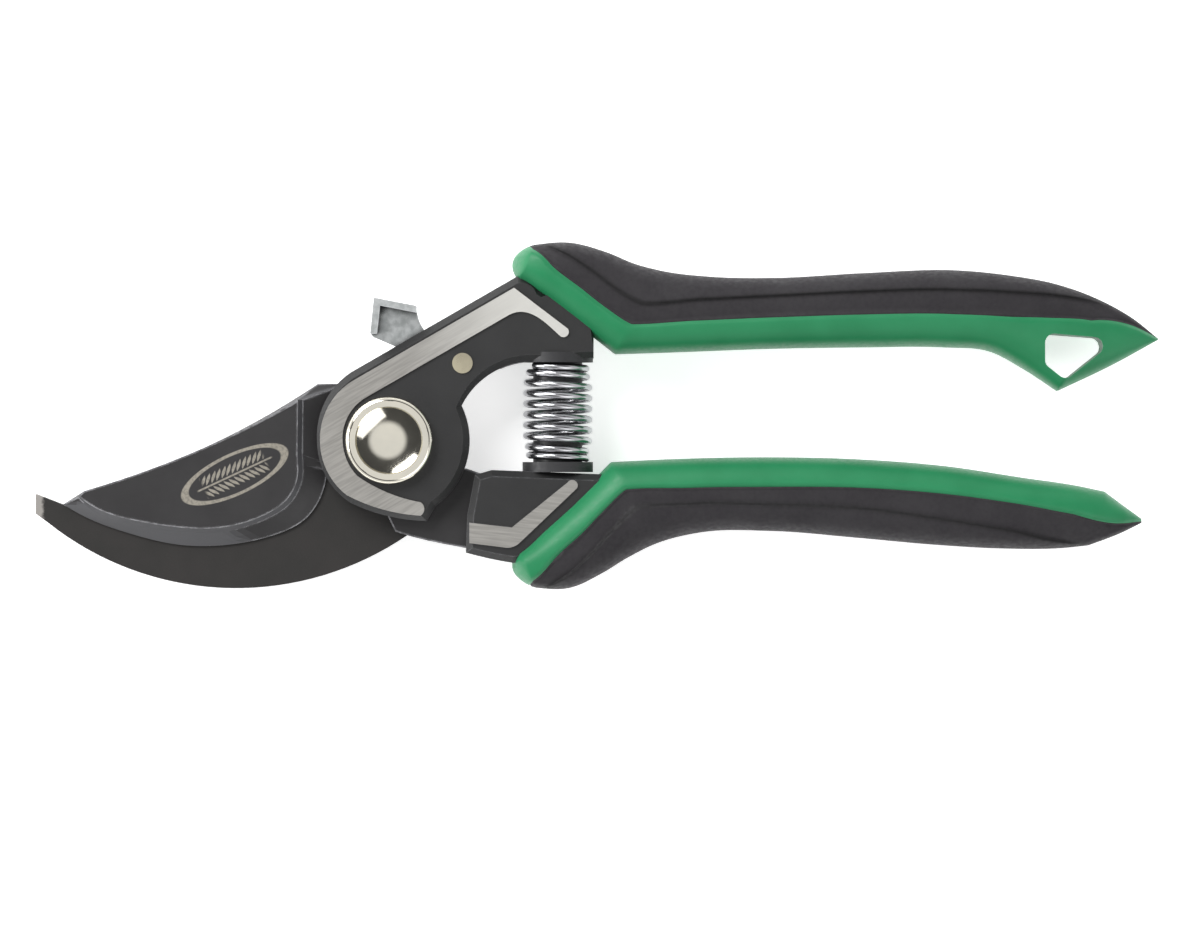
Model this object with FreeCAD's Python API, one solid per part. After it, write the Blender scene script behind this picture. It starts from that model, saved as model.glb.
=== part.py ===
"""Bypass pruning shears, lying flat with the bolt head up.

Frame: millimetres, the pivot axis is Z, +X runs back along the handles, +Y towards the upper lever,
and the nut face and the backs of both grips lie in the plane z = 0.
"""
import FreeCAD, Part
import math
import os

V = FreeCAD.Vector

# ---- driving sizes (mm) -------------------------------------------------------------------------
# jaws
jaw_reach = 66.4            # pivot axis to the end of the hook
hook_thickness = 3.6
hook_edge_radius = 0.7
hook_hub_radius = 13.0
tang_width = 10.0
tang_line = 7.4             # across the arm, pivot axis to the middle of the hook's tang
tang_end = 33.0             # along the arm, pivot axis to the centre of the tang's round end
blade_thickness = 3.0
blade_edge_thickness = 0.45  # left on the cutting edge after grinding
grind_step_height = 0.9     # step at the top of the ground bevel
grind_step_width = 0.8
blade_hub_radius = 11.6
blade_clearance = 0.05      # each side of the blade, in its slot

# pivot head of the upper lever
head_radius = 13.5
head_back_radius = 14.9
tine_thickness = 4.2        # front wall of the slot
arm_angle = 30.0            # degrees, rise of the arm from the pivot
arm_edge_offset = 14.6      # pivot axis to the upper edge of the arm
arm_length = 38.5           # along the arm, pivot axis to its upper corner
slot_length = 24.5          # along the arm, pivot axis to the end of the slot
forging_chamfer = 1.2       # round the front edges of both forgings
land_width = 4.2            # raised polished rim
land_height = 0.4
land_inset = 1.6            # dark strip left outside the rim

# pivot bolt, nut and rings
bolt_radius = 4.0
bolt_head_radius = 8.1
bolt_head_height = 2.7
bolt_rim_width = 1.8        # raised rim round the dished middle of the head
bolt_rim_height = 0.5
bolt_dish_depth = 1.0
bush_wall = 1.2
nut_thickness = 3.2
nut_across_flats = 13.0
lock_washer_thickness = 0.8
lock_washer_radius = 7.6
thrust_washer_thickness = 0.5
thrust_washer_radius = 10.6
running_fit = 0.05          # radial play of a turning fit

# catch
catch_pin_reach = 19.8      # pivot axis to the catch pin
catch_pin_direction = 46.6  # degrees
catch_pin_radius = 1.5
catch_pin_head_radius = 1.9
catch_pin_head_depth = 0.8  # let into the front of the forging
catch_pin_head_rise = 0.3
catch_hub_radius = 4.0
catch_thickness = 2.4
catch_washer_thickness = 0.35
catch_tooth_height = 2.5    # above the blade's hub
catch_tooth_start = 79.8    # degrees about the pivot, the side that the nose stops against
catch_tooth_end = 91.0
catch_tab_height = 27.0     # pivot axis to the top of the thumb tab
catch_flange_width = 4.2
catch_flange_wall = 1.3

# grips
grip_thickness = 18.0
grip_round = 2.5
grip_length = 143.6         # pivot axis to the tip of the upper grip
lower_grip_length = 140.4
upper_grip_inner = 17.0     # pivot axis to the inner face of the upper grip
upper_grip_width = 14.2
lower_grip_inner = 3.4      # below the pivot axis
lower_grip_width = 13.6
core_width = 7.0            # steel core inside a grip
core_end = 108.0            # pivot axis to the end of the core
core_clearance = 0.05
hang_hole_corner = 1.9      # radius of the hanging hole's corners

# opening spring and its seats
spring_centre = 31.3        # pivot axis to the spring, along the handles
spring_radius = 5.9         # to the middle of the wire
wire_radius = 0.65
spring_turns = 8
spring_top = 14.6
spring_bottom = -4.0
seat_thickness = 1.9
seat_radius = 6.6
seat_peg_radius = 4.6
seat_peg_height = 4.0

# small fasteners
rivet_radius = 1.8
rivet_cover = 2.0           # forging left in front of a blind hole for a rivet
screw_radius = 1.8
screw_cover = 1.5
screw_head_radius = 3.2
screw_head_recess = 1.9     # depth of the counterbore
screw_head_inset = 0.3      # head below the back of the forging
screw_slot_width = 0.9
screw_slot_depth = 0.5

# ---- heights that follow from them --------------------------------------------------------------
hook_back = nut_thickness + lock_washer_thickness
hook_front = hook_back + hook_thickness
blade_back = hook_front + blade_clearance
blade_front = blade_back + blade_thickness
tine_back = blade_front + blade_clearance
forging_front = tine_back + tine_thickness
forging_back = hook_back
middle = grip_thickness / 2
SKIN = 1.0                  # how far a cutting tool runs past the surface it cuts


# ---- small helpers ------------------------------------------------------------------------------
def polar(radius, degrees):
    """A point at a radius and direction about the pivot axis."""
    angle = math.radians(degrees)
    return V(radius * math.cos(angle), radius * math.sin(angle), 0)


def arm_point(along, across):
    """A point given along the arm and square to it, from the pivot axis."""
    return polar(along, arm_angle) + polar(across, arm_angle + 90)


def line(start, end):
    return Part.makeLine(start, end)


def arc(start, through, end):
    return Part.Arc(start, through, end).toShape()


def curve(*points):
    """A smooth curve through the points."""
    spline = Part.BSplineCurve()
    spline.interpolate(list(points))
    return spline.toShape()


def slab(edges, low, high):
    """The flat outline made by the edges, as a solid between two heights."""
    face = Part.Face(Part.Wire(edges))
    face.translate(V(0, 0, low))
    return face.extrude(V(0, 0, high - low))


def polygon(points, low, high):
    """A solid with straight sides."""
    closed = points + [points[0]]
    return slab([line(a, b) for a, b in zip(closed, closed[1:])], low, high)


def disc(radius, low, high, centre=V(0, 0, 0)):
    return Part.makeCylinder(radius, high - low, V(centre.x, centre.y, low))


def ring(outer, inner, low, high, centre=V(0, 0, 0)):
    return disc(outer, low, high, centre).cut(disc(inner, low - SKIN, high + SKIN, centre))


def rounded_bar(start, end, radius, low, high):
    """A bar with round ends, from one centre to the other."""
    along = (end - start).normalize()
    side = V(-along.y, along.x, 0) * radius
    tip = along * radius
    return slab(
        [
            line(start + side, end + side),
            arc(end + side, end + tip, end - side),
            line(end - side, start - side),
            arc(start - side, start - tip, start + side),
        ],
        low,
        high,
    )


def rounded_polygon(points, radius, low, high):
    """A solid with straight sides and arcs at its corners."""
    edges = []
    count = len(points)
    ends = []
    for index, corner in enumerate(points):
        before = (points[index - 1] - corner).normalize()
        after = (points[(index + 1) % count] - corner).normalize()
        half = before.getAngle(after) / 2
        reach = radius / math.tan(half)
        inward = (before + after).normalize()
        nearest = corner + inward * (radius / math.sin(half) - radius)
        ends.append((corner + before * reach, nearest, corner + after * reach))
    for index, (first, nearest, last) in enumerate(ends):
        edges.append(arc(first, nearest, last))
        edges.append(line(last, ends[(index + 1) % count][0]))
    return slab(edges, low, high)


def outline_edges(solid, height):
    """The edges of a solid that lie flat at one height."""
    return [
        edge
        for edge in solid.Edges
        if abs(edge.BoundBox.ZMin - height) < 1e-4 and abs(edge.BoundBox.ZMax - height) < 1e-4
    ]


def fuse(first, *others):
    return first.multiFuse(list(others)).removeSplitter()


# ---- jaws ---------------------------------------------------------------------------------------
def jaw_point(station, y):
    """A point on a jaw: 0 at the edge of the head, 1 at the end of the hook."""
    return V(-head_radius - station * (jaw_reach - head_radius), y, 0)


catch_pin = polar(catch_pin_reach, catch_pin_direction)
nose_left = V(2.6, 14.5, 0)
nose_right = V(4.6, 14.0, 0)
hook_rivet_places = [arm_point(28.4, tang_line), arm_point(34.2, tang_line)]
blade_screw_places = [V(20.0, -14.2, 0), V(28.5, -16.4, 0)]


def hook_tang():
    """The bar of the hook that lies in the back of the upper forging."""
    return rounded_bar(arm_point(0, tang_line), arm_point(tang_end, tang_line), tang_width / 2,
                       hook_back, hook_front)


def hook():
    """Curved counter-blade with its hub and the tang that the upper forging holds."""
    tip_top = jaw_point(1.0, -10.0)
    tip_bottom = jaw_point(1.0, -13.7)
    notch = jaw_point(0.907, -11.9)
    heel = V(3.0, -17.8, 0)
    throat = polar(hook_hub_radius, 205)
    jaw = slab(
        [
            line(tip_top, tip_bottom),
            line(tip_bottom, jaw_point(0.958, -15.3)),
            arc(jaw_point(0.958, -15.3), jaw_point(0.323, -27.6), heel),
            arc(heel, V(9.8, -12.6, 0), polar(hook_hub_radius, -20)),
            line(polar(hook_hub_radius, -20), V(0, 0, 0)),
            line(V(0, 0, 0), throat),
            arc(throat, jaw_point(0.40, -16.4), notch),
            line(notch, tip_top),
        ],
        hook_back,
        hook_front,
    )
    plate = fuse(jaw, disc(hook_hub_radius, hook_back, hook_front), hook_tang())
    rim = [
        edge
        for edge in outline_edges(plate, hook_back)
        if edge.BoundBox.YMax < -9.5 and edge.Length > 30
    ]
    plate = plate.makeChamfer(hook_edge_radius, rim)
    for place in hook_rivet_places:
        plate = plate.cut(disc(rivet_radius, hook_back - SKIN, hook_front + SKIN, place))
    plate = plate.cut(disc(catch_pin_radius, hook_back - SKIN, hook_front + SKIN, catch_pin))
    return plate.cut(disc(bolt_radius + running_fit, hook_back - SKIN, hook_front + SKIN))


def bevel_line(outset):
    """Outline of the blade's plateau, moved out towards the edge and the heel."""
    out = V(outset, 0, 0)
    down = V(0, -outset, 0)
    diagonal = (out + down) * 0.7
    tip = jaw_point(0.845, -10.3) + down * 0.3
    spine_start = jaw_point(0.825, -9.42)
    spine_end = jaw_point(0.085, 7.0)
    top = jaw_point(0.070, 7.6) + out
    low = jaw_point(0.072, -2.6) + out
    turn = jaw_point(0.070, -4.6) + out
    return [
        line(tip, spine_start),
        arc(spine_start, jaw_point(0.49, -3.3), spine_end),
        line(spine_end, top),
        line(top, low),
        line(low, turn),
        curve(turn, jaw_point(0.074, -7.6) + out, jaw_point(0.112, -11.2) + diagonal,
              jaw_point(0.184, -13.8) + down, jaw_point(0.335, -16.2) + down,
              jaw_point(0.488, -16.2) + down, jaw_point(0.628, -15.1) + down,
              jaw_point(0.775, -12.8) + down, tip),
    ]


def blade_bevelled_jaw():
    """The cutting part: a plateau whose ground bevel runs round from the edge to the heel."""
    tip = jaw_point(0.902, -11.9)
    tip_break = jaw_point(0.83, -9.5)
    shoulder = V(-13.6, 10.6, 0)
    heel_top = V(-8.0, 10.7, 0)
    heel_bottom = V(-9.2, -5.0, 0)
    edge_end = V(-11.9, -5.4, 0)
    outer = [
        line(tip, tip_break),
        arc(tip_break, jaw_point(0.49, -3.3), shoulder),
        line(shoulder, heel_top),
        arc(heel_top, V(-9.5, 0, 0), heel_bottom),
        line(heel_bottom, edge_end),
        curve(edge_end, V(-12.7, -9.7, 0), jaw_point(0.049, -14.8), jaw_point(0.147, -17.5),
              jaw_point(0.340, -19.6), jaw_point(0.518, -19.3), jaw_point(0.646, -17.7),
              jaw_point(0.807, -14.7), tip),
    ]
    ground = blade_back + blade_edge_thickness
    step = blade_front - grind_step_height
    low = Part.Wire(outer)
    low.translate(V(0, 0, ground))
    shelf = Part.Wire(bevel_line(grind_step_width))
    shelf.translate(V(0, 0, step))
    high = Part.Wire(bevel_line(0))
    high.translate(V(0, 0, blade_front))
    bevel = Part.makeLoft([low, shelf], True, True)
    plateau = Part.makeLoft([shelf, high], True, True)
    return fuse(slab(outer, blade_back, ground), bevel, plateau)


def blade():
    """Cutting blade, hub with the catch's tooth, and tang, in one steel plate."""
    hub = disc(blade_hub_radius, blade_back, blade_front)
    root = blade_hub_radius - 2
    top = blade_hub_radius + catch_tooth_height
    root_start = polar(root, catch_tooth_start)
    root_end = polar(root, catch_tooth_end + 7)
    top_start = polar(top, catch_tooth_start)
    top_middle = polar(top, (catch_tooth_start + catch_tooth_end) / 2)
    top_end = polar(top, catch_tooth_end)
    tooth = slab(
        [
            line(root_start, top_start),
            arc(top_start, top_middle, top_end),
            line(top_end, root_end),
            line(root_end, root_start),
        ],
        blade_back,
        blade_front,
    )
    tang = slab(
        [
            line(V(4.0, -6.0, 0), V(14.2, -5.2, 0)),
            line(V(14.2, -5.2, 0), V(34.0, -11.9, 0)),
            arc(V(34.0, -11.9, 0), V(35.6, -14.9, 0), V(33.4, -17.9, 0)),
            line(V(33.4, -17.9, 0), V(20.5, -21.3, 0)),
            curve(V(20.5, -21.3, 0), V(14.2, -20.1, 0), V(8.0, -18.9, 0), V(1.0, -17.0, 0)),
            line(V(1.0, -17.0, 0), V(-3.0, -9.0, 0)),
            line(V(-3.0, -9.0, 0), V(4.0, -6.0, 0)),
        ],
        blade_back,
        blade_front,
    )
    plate = fuse(blade_bevelled_jaw(), hub, tooth, tang)
    bore = bolt_radius + bush_wall + running_fit
    plate = plate.cut(disc(bore, blade_back - SKIN, blade_front + SKIN))
    for place in blade_screw_places:
        plate = plate.cut(disc(screw_radius, blade_back - SKIN, blade_front + SKIN, place))
    return plate


# ---- grips --------------------------------------------------------------------------------------
def upper_y(y):
    """Height on the upper grip, measured from its inner face."""
    return upper_grip_inner + y


def lower_y(y):
    """Height on the lower grip, measured down from its inner face."""
    return -lower_grip_inner - y


def grip_x(station, end):
    """A place along a grip: 0 at its bend, 1 at its tip."""
    bend = spring_centre + 11.0
    return bend + station * (end - bend)


def upper_point(station, y):
    return V(grip_x(station, grip_length), upper_y(y), 0)


def lower_point(station, y):
    return V(grip_x(station, lower_grip_length), lower_y(y), 0)


def upper_grip_outline():
    """Outline of the whole upper grip: rounded front end, waist, belly and pointed tail."""
    width = upper_grip_width
    front_low = V(24.2, upper_y(12.9), 0)
    front_high = V(26.4, upper_y(19.0), 0)
    bend = V(41.6, upper_y(-0.4), 0)
    tip = upper_point(1.0, 1.9)
    top = curve(front_high, V(32.6, upper_y(20.0), 0), V(42.0, upper_y(17.5), 0),
                upper_point(0.12, width), upper_point(0.25, width - 0.8),
                upper_point(0.45, width + 0.3), upper_point(0.63, width + 0.7),
                upper_point(0.78, width - 1.3), upper_point(0.90, 9.0), tip)
    return [
        arc(front_low, V(23.1, upper_y(16.4), 0), front_high),
        top,
        line(tip, upper_point(0.815, -7.9)),
        arc(upper_point(0.815, -7.9), upper_point(0.745, -3.6), upper_point(0.66, 0.1)),
        arc(upper_point(0.66, 0.1), upper_point(0.33, 0.2), upper_point(0.03, -0.9)),
        arc(upper_point(0.03, -0.9), V(43.2, upper_y(-1.2), 0), bend),
        line(bend, front_low),
    ]


def lower_grip_outline():
    """Outline of the whole lower grip."""
    width = lower_grip_width
    front_low = V(26.7, lower_y(24.3), 0)
    front_high = V(24.0, lower_y(17.0), 0)
    tip = lower_point(1.0, 11.6)
    return [
        arc(front_low, V(22.5, lower_y(21.2), 0), front_high),
        line(front_high, V(39.4, lower_y(2.7), 0)),
        arc(V(39.4, lower_y(2.7), 0), V(41.6, lower_y(0.9), 0), lower_point(0.035, 0.3)),
        arc(lower_point(0.035, 0.3), lower_point(0.40, -0.2), lower_point(0.93, 5.9)),
        line(lower_point(0.93, 5.9), tip),
        curve(tip, lower_point(0.90, 16.2), lower_point(0.72, 16.6), lower_point(0.50, 15.2),
              lower_point(0.28, width), lower_point(0.13, width + 0.4),
              lower_point(0.03, 18.6), V(37.5, lower_y(22.6), 0), front_low),
    ]


def upper_base_region():
    """The hard green side of the upper grip, as a tall tool."""
    edge = curve(V(24.6, upper_y(19.4), 0), V(28.0, upper_y(17.8), 0), V(35.4, upper_y(11.8), 0),
                 V(41.0, upper_y(7.2), 0), upper_point(0.045, 4.9), upper_point(0.25, 6.0),
                 upper_point(0.55, 6.5), upper_point(0.80, 5.6), upper_point(1.0, 3.4))
    last = upper_point(1.05, 3.0)
    return slab(
        [
            edge,
            line(upper_point(1.0, 3.4), last),
            line(last, upper_point(1.05, -14)),
            line(upper_point(1.05, -14), V(10, upper_y(-14), 0)),
            line(V(10, upper_y(-14), 0), V(10, upper_y(19.4), 0)),
            line(V(10, upper_y(19.4), 0), V(24.6, upper_y(19.4), 0)),
        ],
        -SKIN,
        grip_thickness + SKIN,
    )


def lower_base_region():
    """The hard green side of the lower grip, as a tall tool."""
    start = V(24.0, lower_y(25.0), 0)
    edge = curve(start, V(28.0, lower_y(21.7), 0), V(35.4, lower_y(14.3), 0),
                 V(41.0, lower_y(8.6), 0), lower_point(0.06, 5.9), lower_point(0.30, 5.3),
                 lower_point(0.55, 5.8), lower_point(0.80, 9.2), lower_point(1.0, 12.6))
    return slab(
        [
            edge,
            line(lower_point(1.0, 12.6), lower_point(1.05, 13.4)),
            line(lower_point(1.05, 13.4), lower_point(1.05, -12)),
            line(lower_point(1.05, -12), V(10, lower_y(-12), 0)),
            line(V(10, lower_y(-12), 0), V(10, lower_y(25.0), 0)),
            line(V(10, lower_y(25.0), 0), start),
        ],
        -SKIN,
        grip_thickness + SKIN,
    )


def grip_body(outline):
    """A grip's outline at full thickness with its long edges rounded."""
    body = slab(outline, 0, grip_thickness)
    rims = outline_edges(body, 0) + outline_edges(body, grip_thickness)
    return body.makeFillet(grip_round, rims)


# ---- forgings -----------------------------------------------------------------------------------
def upper_core(extra):
    """The steel core inside the upper grip, larger by a clearance for its pocket."""
    half = core_width / 2 + extra
    near = V(40.0, upper_y(7.6), 0)
    far = V(core_end, upper_y(8.2), 0)
    root = V(30.0, upper_y(6.6), 0)
    low = forging_back - extra
    high = forging_front + extra
    straight = rounded_bar(near, far, half, low, high)
    elbow = rounded_bar(root, near, half, low, high)
    return fuse(straight, elbow)


def lower_core(extra):
    """The steel core inside the lower grip."""
    half = core_width / 2 + extra
    near = V(40.0, lower_y(8.2), 0)
    far = V(core_end, lower_y(9.6), 0)
    root = V(30.0, lower_y(10.8), 0)
    low = forging_back - extra
    high = forging_front + extra
    return fuse(rounded_bar(near, far, half, low, high), rounded_bar(root, near, half, low, high))


def upper_arm_outline(inset):
    """Outline of the pivot head and the arm, back to the front of the grip, moved in all round."""
    head = head_radius - inset
    head_back = head_back_radius - inset
    across = arm_edge_offset - inset
    up = V(0, inset, 0)
    down = V(0, -inset, 0)
    left = V(-inset, 0, 0)
    edge_start = arm_point(0, across)
    corner = arm_point(arm_length - 2.5 - inset / 2, across)
    corner_end = arm_point(arm_length - inset, across - 3.5)
    front_low = V(38.0, 21.5, 0) + (left + down) / 2
    under_end = V(38.0, 15.4, 0) + up
    under_bend = V(28.0, 14.7, 0) + up
    under_start = polar(head_back, 25.9)
    foot = V(6.9, -15.0, 0) + (up + left) * 0.9
    foot_back = polar(head_back, -55)
    throat = polar(head + 0.2, 238)
    return [
        arc(V(-head, 0, 0), polar((head + across) / 2, 148), edge_start),
        line(edge_start, corner),
        arc(corner, arm_point(arm_length - 0.6 - inset, across - 0.9), corner_end),
        line(corner_end, front_low),
        line(front_low, under_end),
        line(under_end, under_bend),
        arc(under_bend, V(18.4, 12.2, 0) + up * 0.9 + left * 0.4, under_start),
        arc(under_start, polar(head_back, -12), foot_back),
        line(foot_back, foot),
        arc(foot, V(0.2, -14.2, 0) + up, throat),
        arc(throat, polar(head + 0.1, 210), V(-head, 0, 0)),
    ]


def bevelled_slab(outline, low, high):
    """A slab whose upper edges are chamfered all round; outline takes the distance to move in."""
    shoulder = high - forging_chamfer
    wide = Part.Wire(outline(0))
    wide.translate(V(0, 0, shoulder))
    narrow = Part.Wire(outline(forging_chamfer))
    narrow.translate(V(0, 0, high))
    return fuse(slab(outline(0), low, shoulder), Part.makeLoft([wide, narrow], True, True))


def upper_land():
    """The raised polished rim that follows the head and the arm's upper edge."""
    outer = head_radius - 0.6
    inner = outer - land_width
    outer_across = arm_edge_offset - land_inset
    inner_across = outer_across - land_width + 0.3
    outer_lead = arm_point(0.6, outer_across)
    inner_lead = arm_point(0.6, inner_across)
    outer_corner = arm_point(arm_length - 4.2, outer_across)
    inner_corner = arm_point(arm_length - 7.5, inner_across)
    outer_end = V(33.2, 20.8, 0)
    inner_end = V(31.7, 19.5, 0)
    outer_foot = V(5.8, -14.0, 0)
    inner_foot = V(5.8, -11.5, 0)
    edges = [
        arc(V(-outer, 0, 0), polar(outer + 0.1, 150), outer_lead),
        line(outer_lead, outer_corner),
        line(outer_corner, outer_end),
        arc(outer_end, V(33.1, 19.5, 0), inner_end),
        curve(inner_end, V(28.8, 22.1, 0), V(25.6, 23.8, 0), inner_corner),
        line(inner_corner, inner_lead),
        arc(inner_lead, polar(inner + 0.2, 152), V(-inner, 0, 0)),
        arc(V(-inner, 0, 0), polar(inner, 203), polar(inner + 0.2, 228)),
        arc(polar(inner + 0.2, 228), V(0.4, -10.0, 0), inner_foot),
        arc(inner_foot, V(6.5, -12.9, 0), outer_foot),
        arc(outer_foot, V(-1.0, -12.9, 0), polar(outer, 232)),
        arc(polar(outer, 232), polar(outer, 205), V(-outer, 0, 0)),
    ]
    return slab(edges, forging_front - SKIN, forging_front + land_height)


def upper_handle():
    """Forging: pivot head, arm with a slot for the blade and the catch, and core."""
    arm = bevelled_slab(upper_arm_outline, forging_back, forging_front)
    spot_face = disc(bolt_head_radius + running_fit, forging_front, grip_thickness)
    body = fuse(arm, upper_core(0), upper_land()).cut(spot_face)
    beyond = 3 * head_radius
    slot = polygon(
        [
            arm_point(-beyond, -beyond),
            arm_point(slot_length, -beyond),
            arm_point(slot_length, beyond),
            arm_point(-beyond, beyond),
        ],
        forging_back - SKIN,
        tine_back,
    )
    body = body.cut(slot)
    body = body.cut(hook_tang())
    body = body.cut(seat_flange(spring_top, 1))
    body = body.cut(disc(bolt_radius + running_fit, 0, grip_thickness))
    recess = disc(thrust_washer_radius + running_fit, tine_back - SKIN,
                  tine_back + thrust_washer_thickness)
    body = body.cut(recess)
    body = body.cut(disc(catch_pin_radius, 0, grip_thickness, catch_pin))
    counterbore_floor = forging_front - catch_pin_head_depth
    body = body.cut(disc(catch_pin_head_radius, counterbore_floor, grip_thickness, catch_pin))
    for place in hook_rivet_places:
        body = body.cut(disc(rivet_radius, forging_back - SKIN, forging_front - rivet_cover, place))
    return body


def lower_handle_blank():
    """The lower forging before its slot and holes: arm, polished land and core."""
    step_top = V(15.9, -6.4, 0)
    step_low = V(14.5, -13.9, 0)
    body = slab(
        [
            line(step_top, V(19.0, -5.5, 0)),
            line(V(19.0, -5.5, 0), V(40.0, -6.3, 0)),
            line(V(40.0, -6.3, 0), V(40.0, -15.0, 0)),
            line(V(40.0, -15.0, 0), V(31.0, -22.0, 0)),
            line(V(31.0, -22.0, 0), V(23.0, -22.8, 0)),
            arc(V(23.0, -22.8, 0), V(18.6, -22.0, 0), V(14.2, -20.9, 0)),
            line(V(14.2, -20.9, 0), step_low),
            line(step_low, step_top),
        ],
        forging_back,
        forging_front,
    )
    body = body.makeChamfer(forging_chamfer, outline_edges(body, forging_front))
    land = slab(
        [
            line(V(14.9, -15.3, 0), V(22.8, -16.2, 0)),
            line(V(22.8, -16.2, 0), V(33.2, -7.8, 0)),
            arc(V(33.2, -7.8, 0), V(34.7, -7.6, 0), V(34.9, -8.9, 0)),
            line(V(34.9, -8.9, 0), V(24.4, -18.9, 0)),
            arc(V(24.4, -18.9, 0), V(23.0, -19.8, 0), V(21.3, -19.9, 0)),
            line(V(21.3, -19.9, 0), V(14.9, -19.1, 0)),
            line(V(14.9, -19.1, 0), V(14.9, -15.3, 0)),
        ],
        forging_front - SKIN,
        forging_front + land_height,
    )
    return fuse(body, lower_core(0), land).cut(seat_flange(spring_bottom, -1))


def lower_handle():
    """Forging: arm with a slot for the blade's tang, and core."""
    slot = polygon(
        [V(0, -30, 0), V(32.5, -30, 0), V(36.2, -15.5, 0), V(36.2, -9.0, 0), V(14.0, 0, 0), V(0, 0, 0)],
        blade_back,
        blade_front,
    )
    body = lower_handle_blank().cut(slot)
    for place in blade_screw_places:
        body = body.cut(disc(screw_radius, forging_back - SKIN, forging_front - screw_cover, place))
        head_top = forging_back + screw_head_recess
        body = body.cut(disc(screw_head_radius, forging_back - SKIN, head_top, place))
    return body


# ---- pivot --------------------------------------------------------------------------------------
def pivot_bolt():
    """Turned bolt whose head has a raised rim round a dished middle."""
    base = forging_front
    top = base + bolt_head_height
    rim = bolt_head_radius - bolt_rim_width
    dish = rim - bolt_rim_height / 2
    dish_top = top - bolt_rim_height
    dish_floor = dish_top - bolt_dish_depth
    sphere = (dish**2 + bolt_dish_depth**2) / (2 * bolt_dish_depth)
    edge = 0.9                  # rounding of the head's outer edge

    def dish_rise(radius):
        """How far the dish has risen from its floor at a radius."""
        return sphere - math.sqrt(sphere**2 - radius**2)

    profile = [
        line(V(0, 0, 0), V(bolt_radius, 0, 0)),
        line(V(bolt_radius, 0, 0), V(bolt_radius, 0, base)),
        line(V(bolt_radius, 0, base), V(bolt_head_radius, 0, base)),
        line(V(bolt_head_radius, 0, base), V(bolt_head_radius, 0, top - edge)),
        arc(V(bolt_head_radius, 0, top - edge),
            V(bolt_head_radius - edge * 0.29, 0, top - edge * 0.29),
            V(bolt_head_radius - edge, 0, top)),
        line(V(bolt_head_radius - edge, 0, top), V(rim, 0, top)),
        line(V(rim, 0, top), V(dish, 0, dish_top)),
        arc(V(dish, 0, dish_top), V(dish / 2, 0, dish_floor + dish_rise(dish / 2)), V(0, 0, dish_floor)),
        line(V(0, 0, dish_floor), V(0, 0, 0)),
    ]
    return Part.Face(Part.Wire(profile)).revolve(V(0, 0, 0), V(0, 0, 1), 360)


def pivot_nut():
    """Hexagon nut whose outer face is the rest plane."""
    across_corners = nut_across_flats / math.cos(math.pi / 6)
    corners = [polar(across_corners / 2, 60 * index) for index in range(6)]
    body = polygon(corners, 0, nut_thickness)
    chamfer = Part.makeCone(nut_across_flats / 2 + 0.1, nut_across_flats / 2 + 6.1, 6)
    return body.common(chamfer).cut(disc(bolt_radius, -SKIN, nut_thickness + SKIN))


def pivot_bush():
    outer = bolt_radius + bush_wall
    return ring(outer, bolt_radius, hook_front, tine_back)


def thrust_washer():
    """Bronze ring let into the back of the head."""
    inner = bolt_radius + bush_wall + running_fit
    return ring(thrust_washer_radius, inner, tine_back, tine_back + thrust_washer_thickness)


def lock_washer():
    return ring(lock_washer_radius, bolt_radius, nut_thickness, hook_back)


# ---- catch --------------------------------------------------------------------------------------
catch_front = tine_back - catch_washer_thickness - running_fit
catch_back = catch_front - catch_thickness


def catch_plate():
    """Catch, released: hub, nose over the blade's tooth, and thumb tab with folded flanges."""
    tab_left = V(-3.6, 19.9, 0)
    tab_top_left = V(-2.9, catch_tab_height - 0.4, 0)
    tab_top_right = V(5.0, catch_tab_height - 1.9, 0)
    body = slab(
        [
            line(V(9.9, 13.0, 0), nose_right),
            line(nose_right, nose_left),
            line(nose_left, V(3.3, 16.6, 0)),
            line(V(3.3, 16.6, 0), V(-3.1, 19.3, 0)),
            line(V(-3.1, 19.3, 0), tab_left),
            line(tab_left, tab_top_left),
            line(tab_top_left, tab_top_right),
            arc(tab_top_right, V(6.4, 20.6, 0), V(12.2, 18.15, 0)),
            line(V(12.2, 18.15, 0), V(9.9, 13.0, 0)),
        ],
        catch_back,
        catch_front,
    )
    hub = disc(catch_hub_radius, catch_back, catch_front, catch_pin)
    wall = catch_flange_wall
    top_flange = polygon(
        [tab_top_left, tab_top_left + V(0.2, -wall, 0), tab_top_right + V(0, -wall, 0), tab_top_right],
        catch_front - SKIN,
        catch_front + catch_flange_width,
    )
    side_flange = polygon(
        [tab_left, tab_left + V(wall, 0, 0), tab_top_left + V(wall, -0.2, 0), tab_top_left],
        catch_front - SKIN,
        catch_front + catch_flange_width,
    )
    plate = fuse(body, hub, top_flange, side_flange)
    return plate.cut(disc(catch_pin_radius + running_fit, 0, grip_thickness, catch_pin))


def catch_rivet():
    """Rivet that the catch turns on, peened flush at the front."""
    shoulder = forging_front - catch_pin_head_depth
    shank = disc(catch_pin_radius, hook_back, shoulder, catch_pin)
    head = disc(catch_pin_head_radius, shoulder, forging_front + catch_pin_head_rise, catch_pin)
    return fuse(shank, head)


def catch_washer():
    back = tine_back - catch_washer_thickness
    return ring(catch_hub_radius - 0.4, catch_pin_radius, back, tine_back, catch_pin)


# ---- spring -------------------------------------------------------------------------------------
def seat_flange(face_y, outward):
    """The round flange of a spring seat; the forging is cut to it."""
    place = V(spring_centre, face_y, middle)
    return Part.makeCylinder(seat_radius, seat_thickness, place, V(0, outward, 0))


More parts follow.
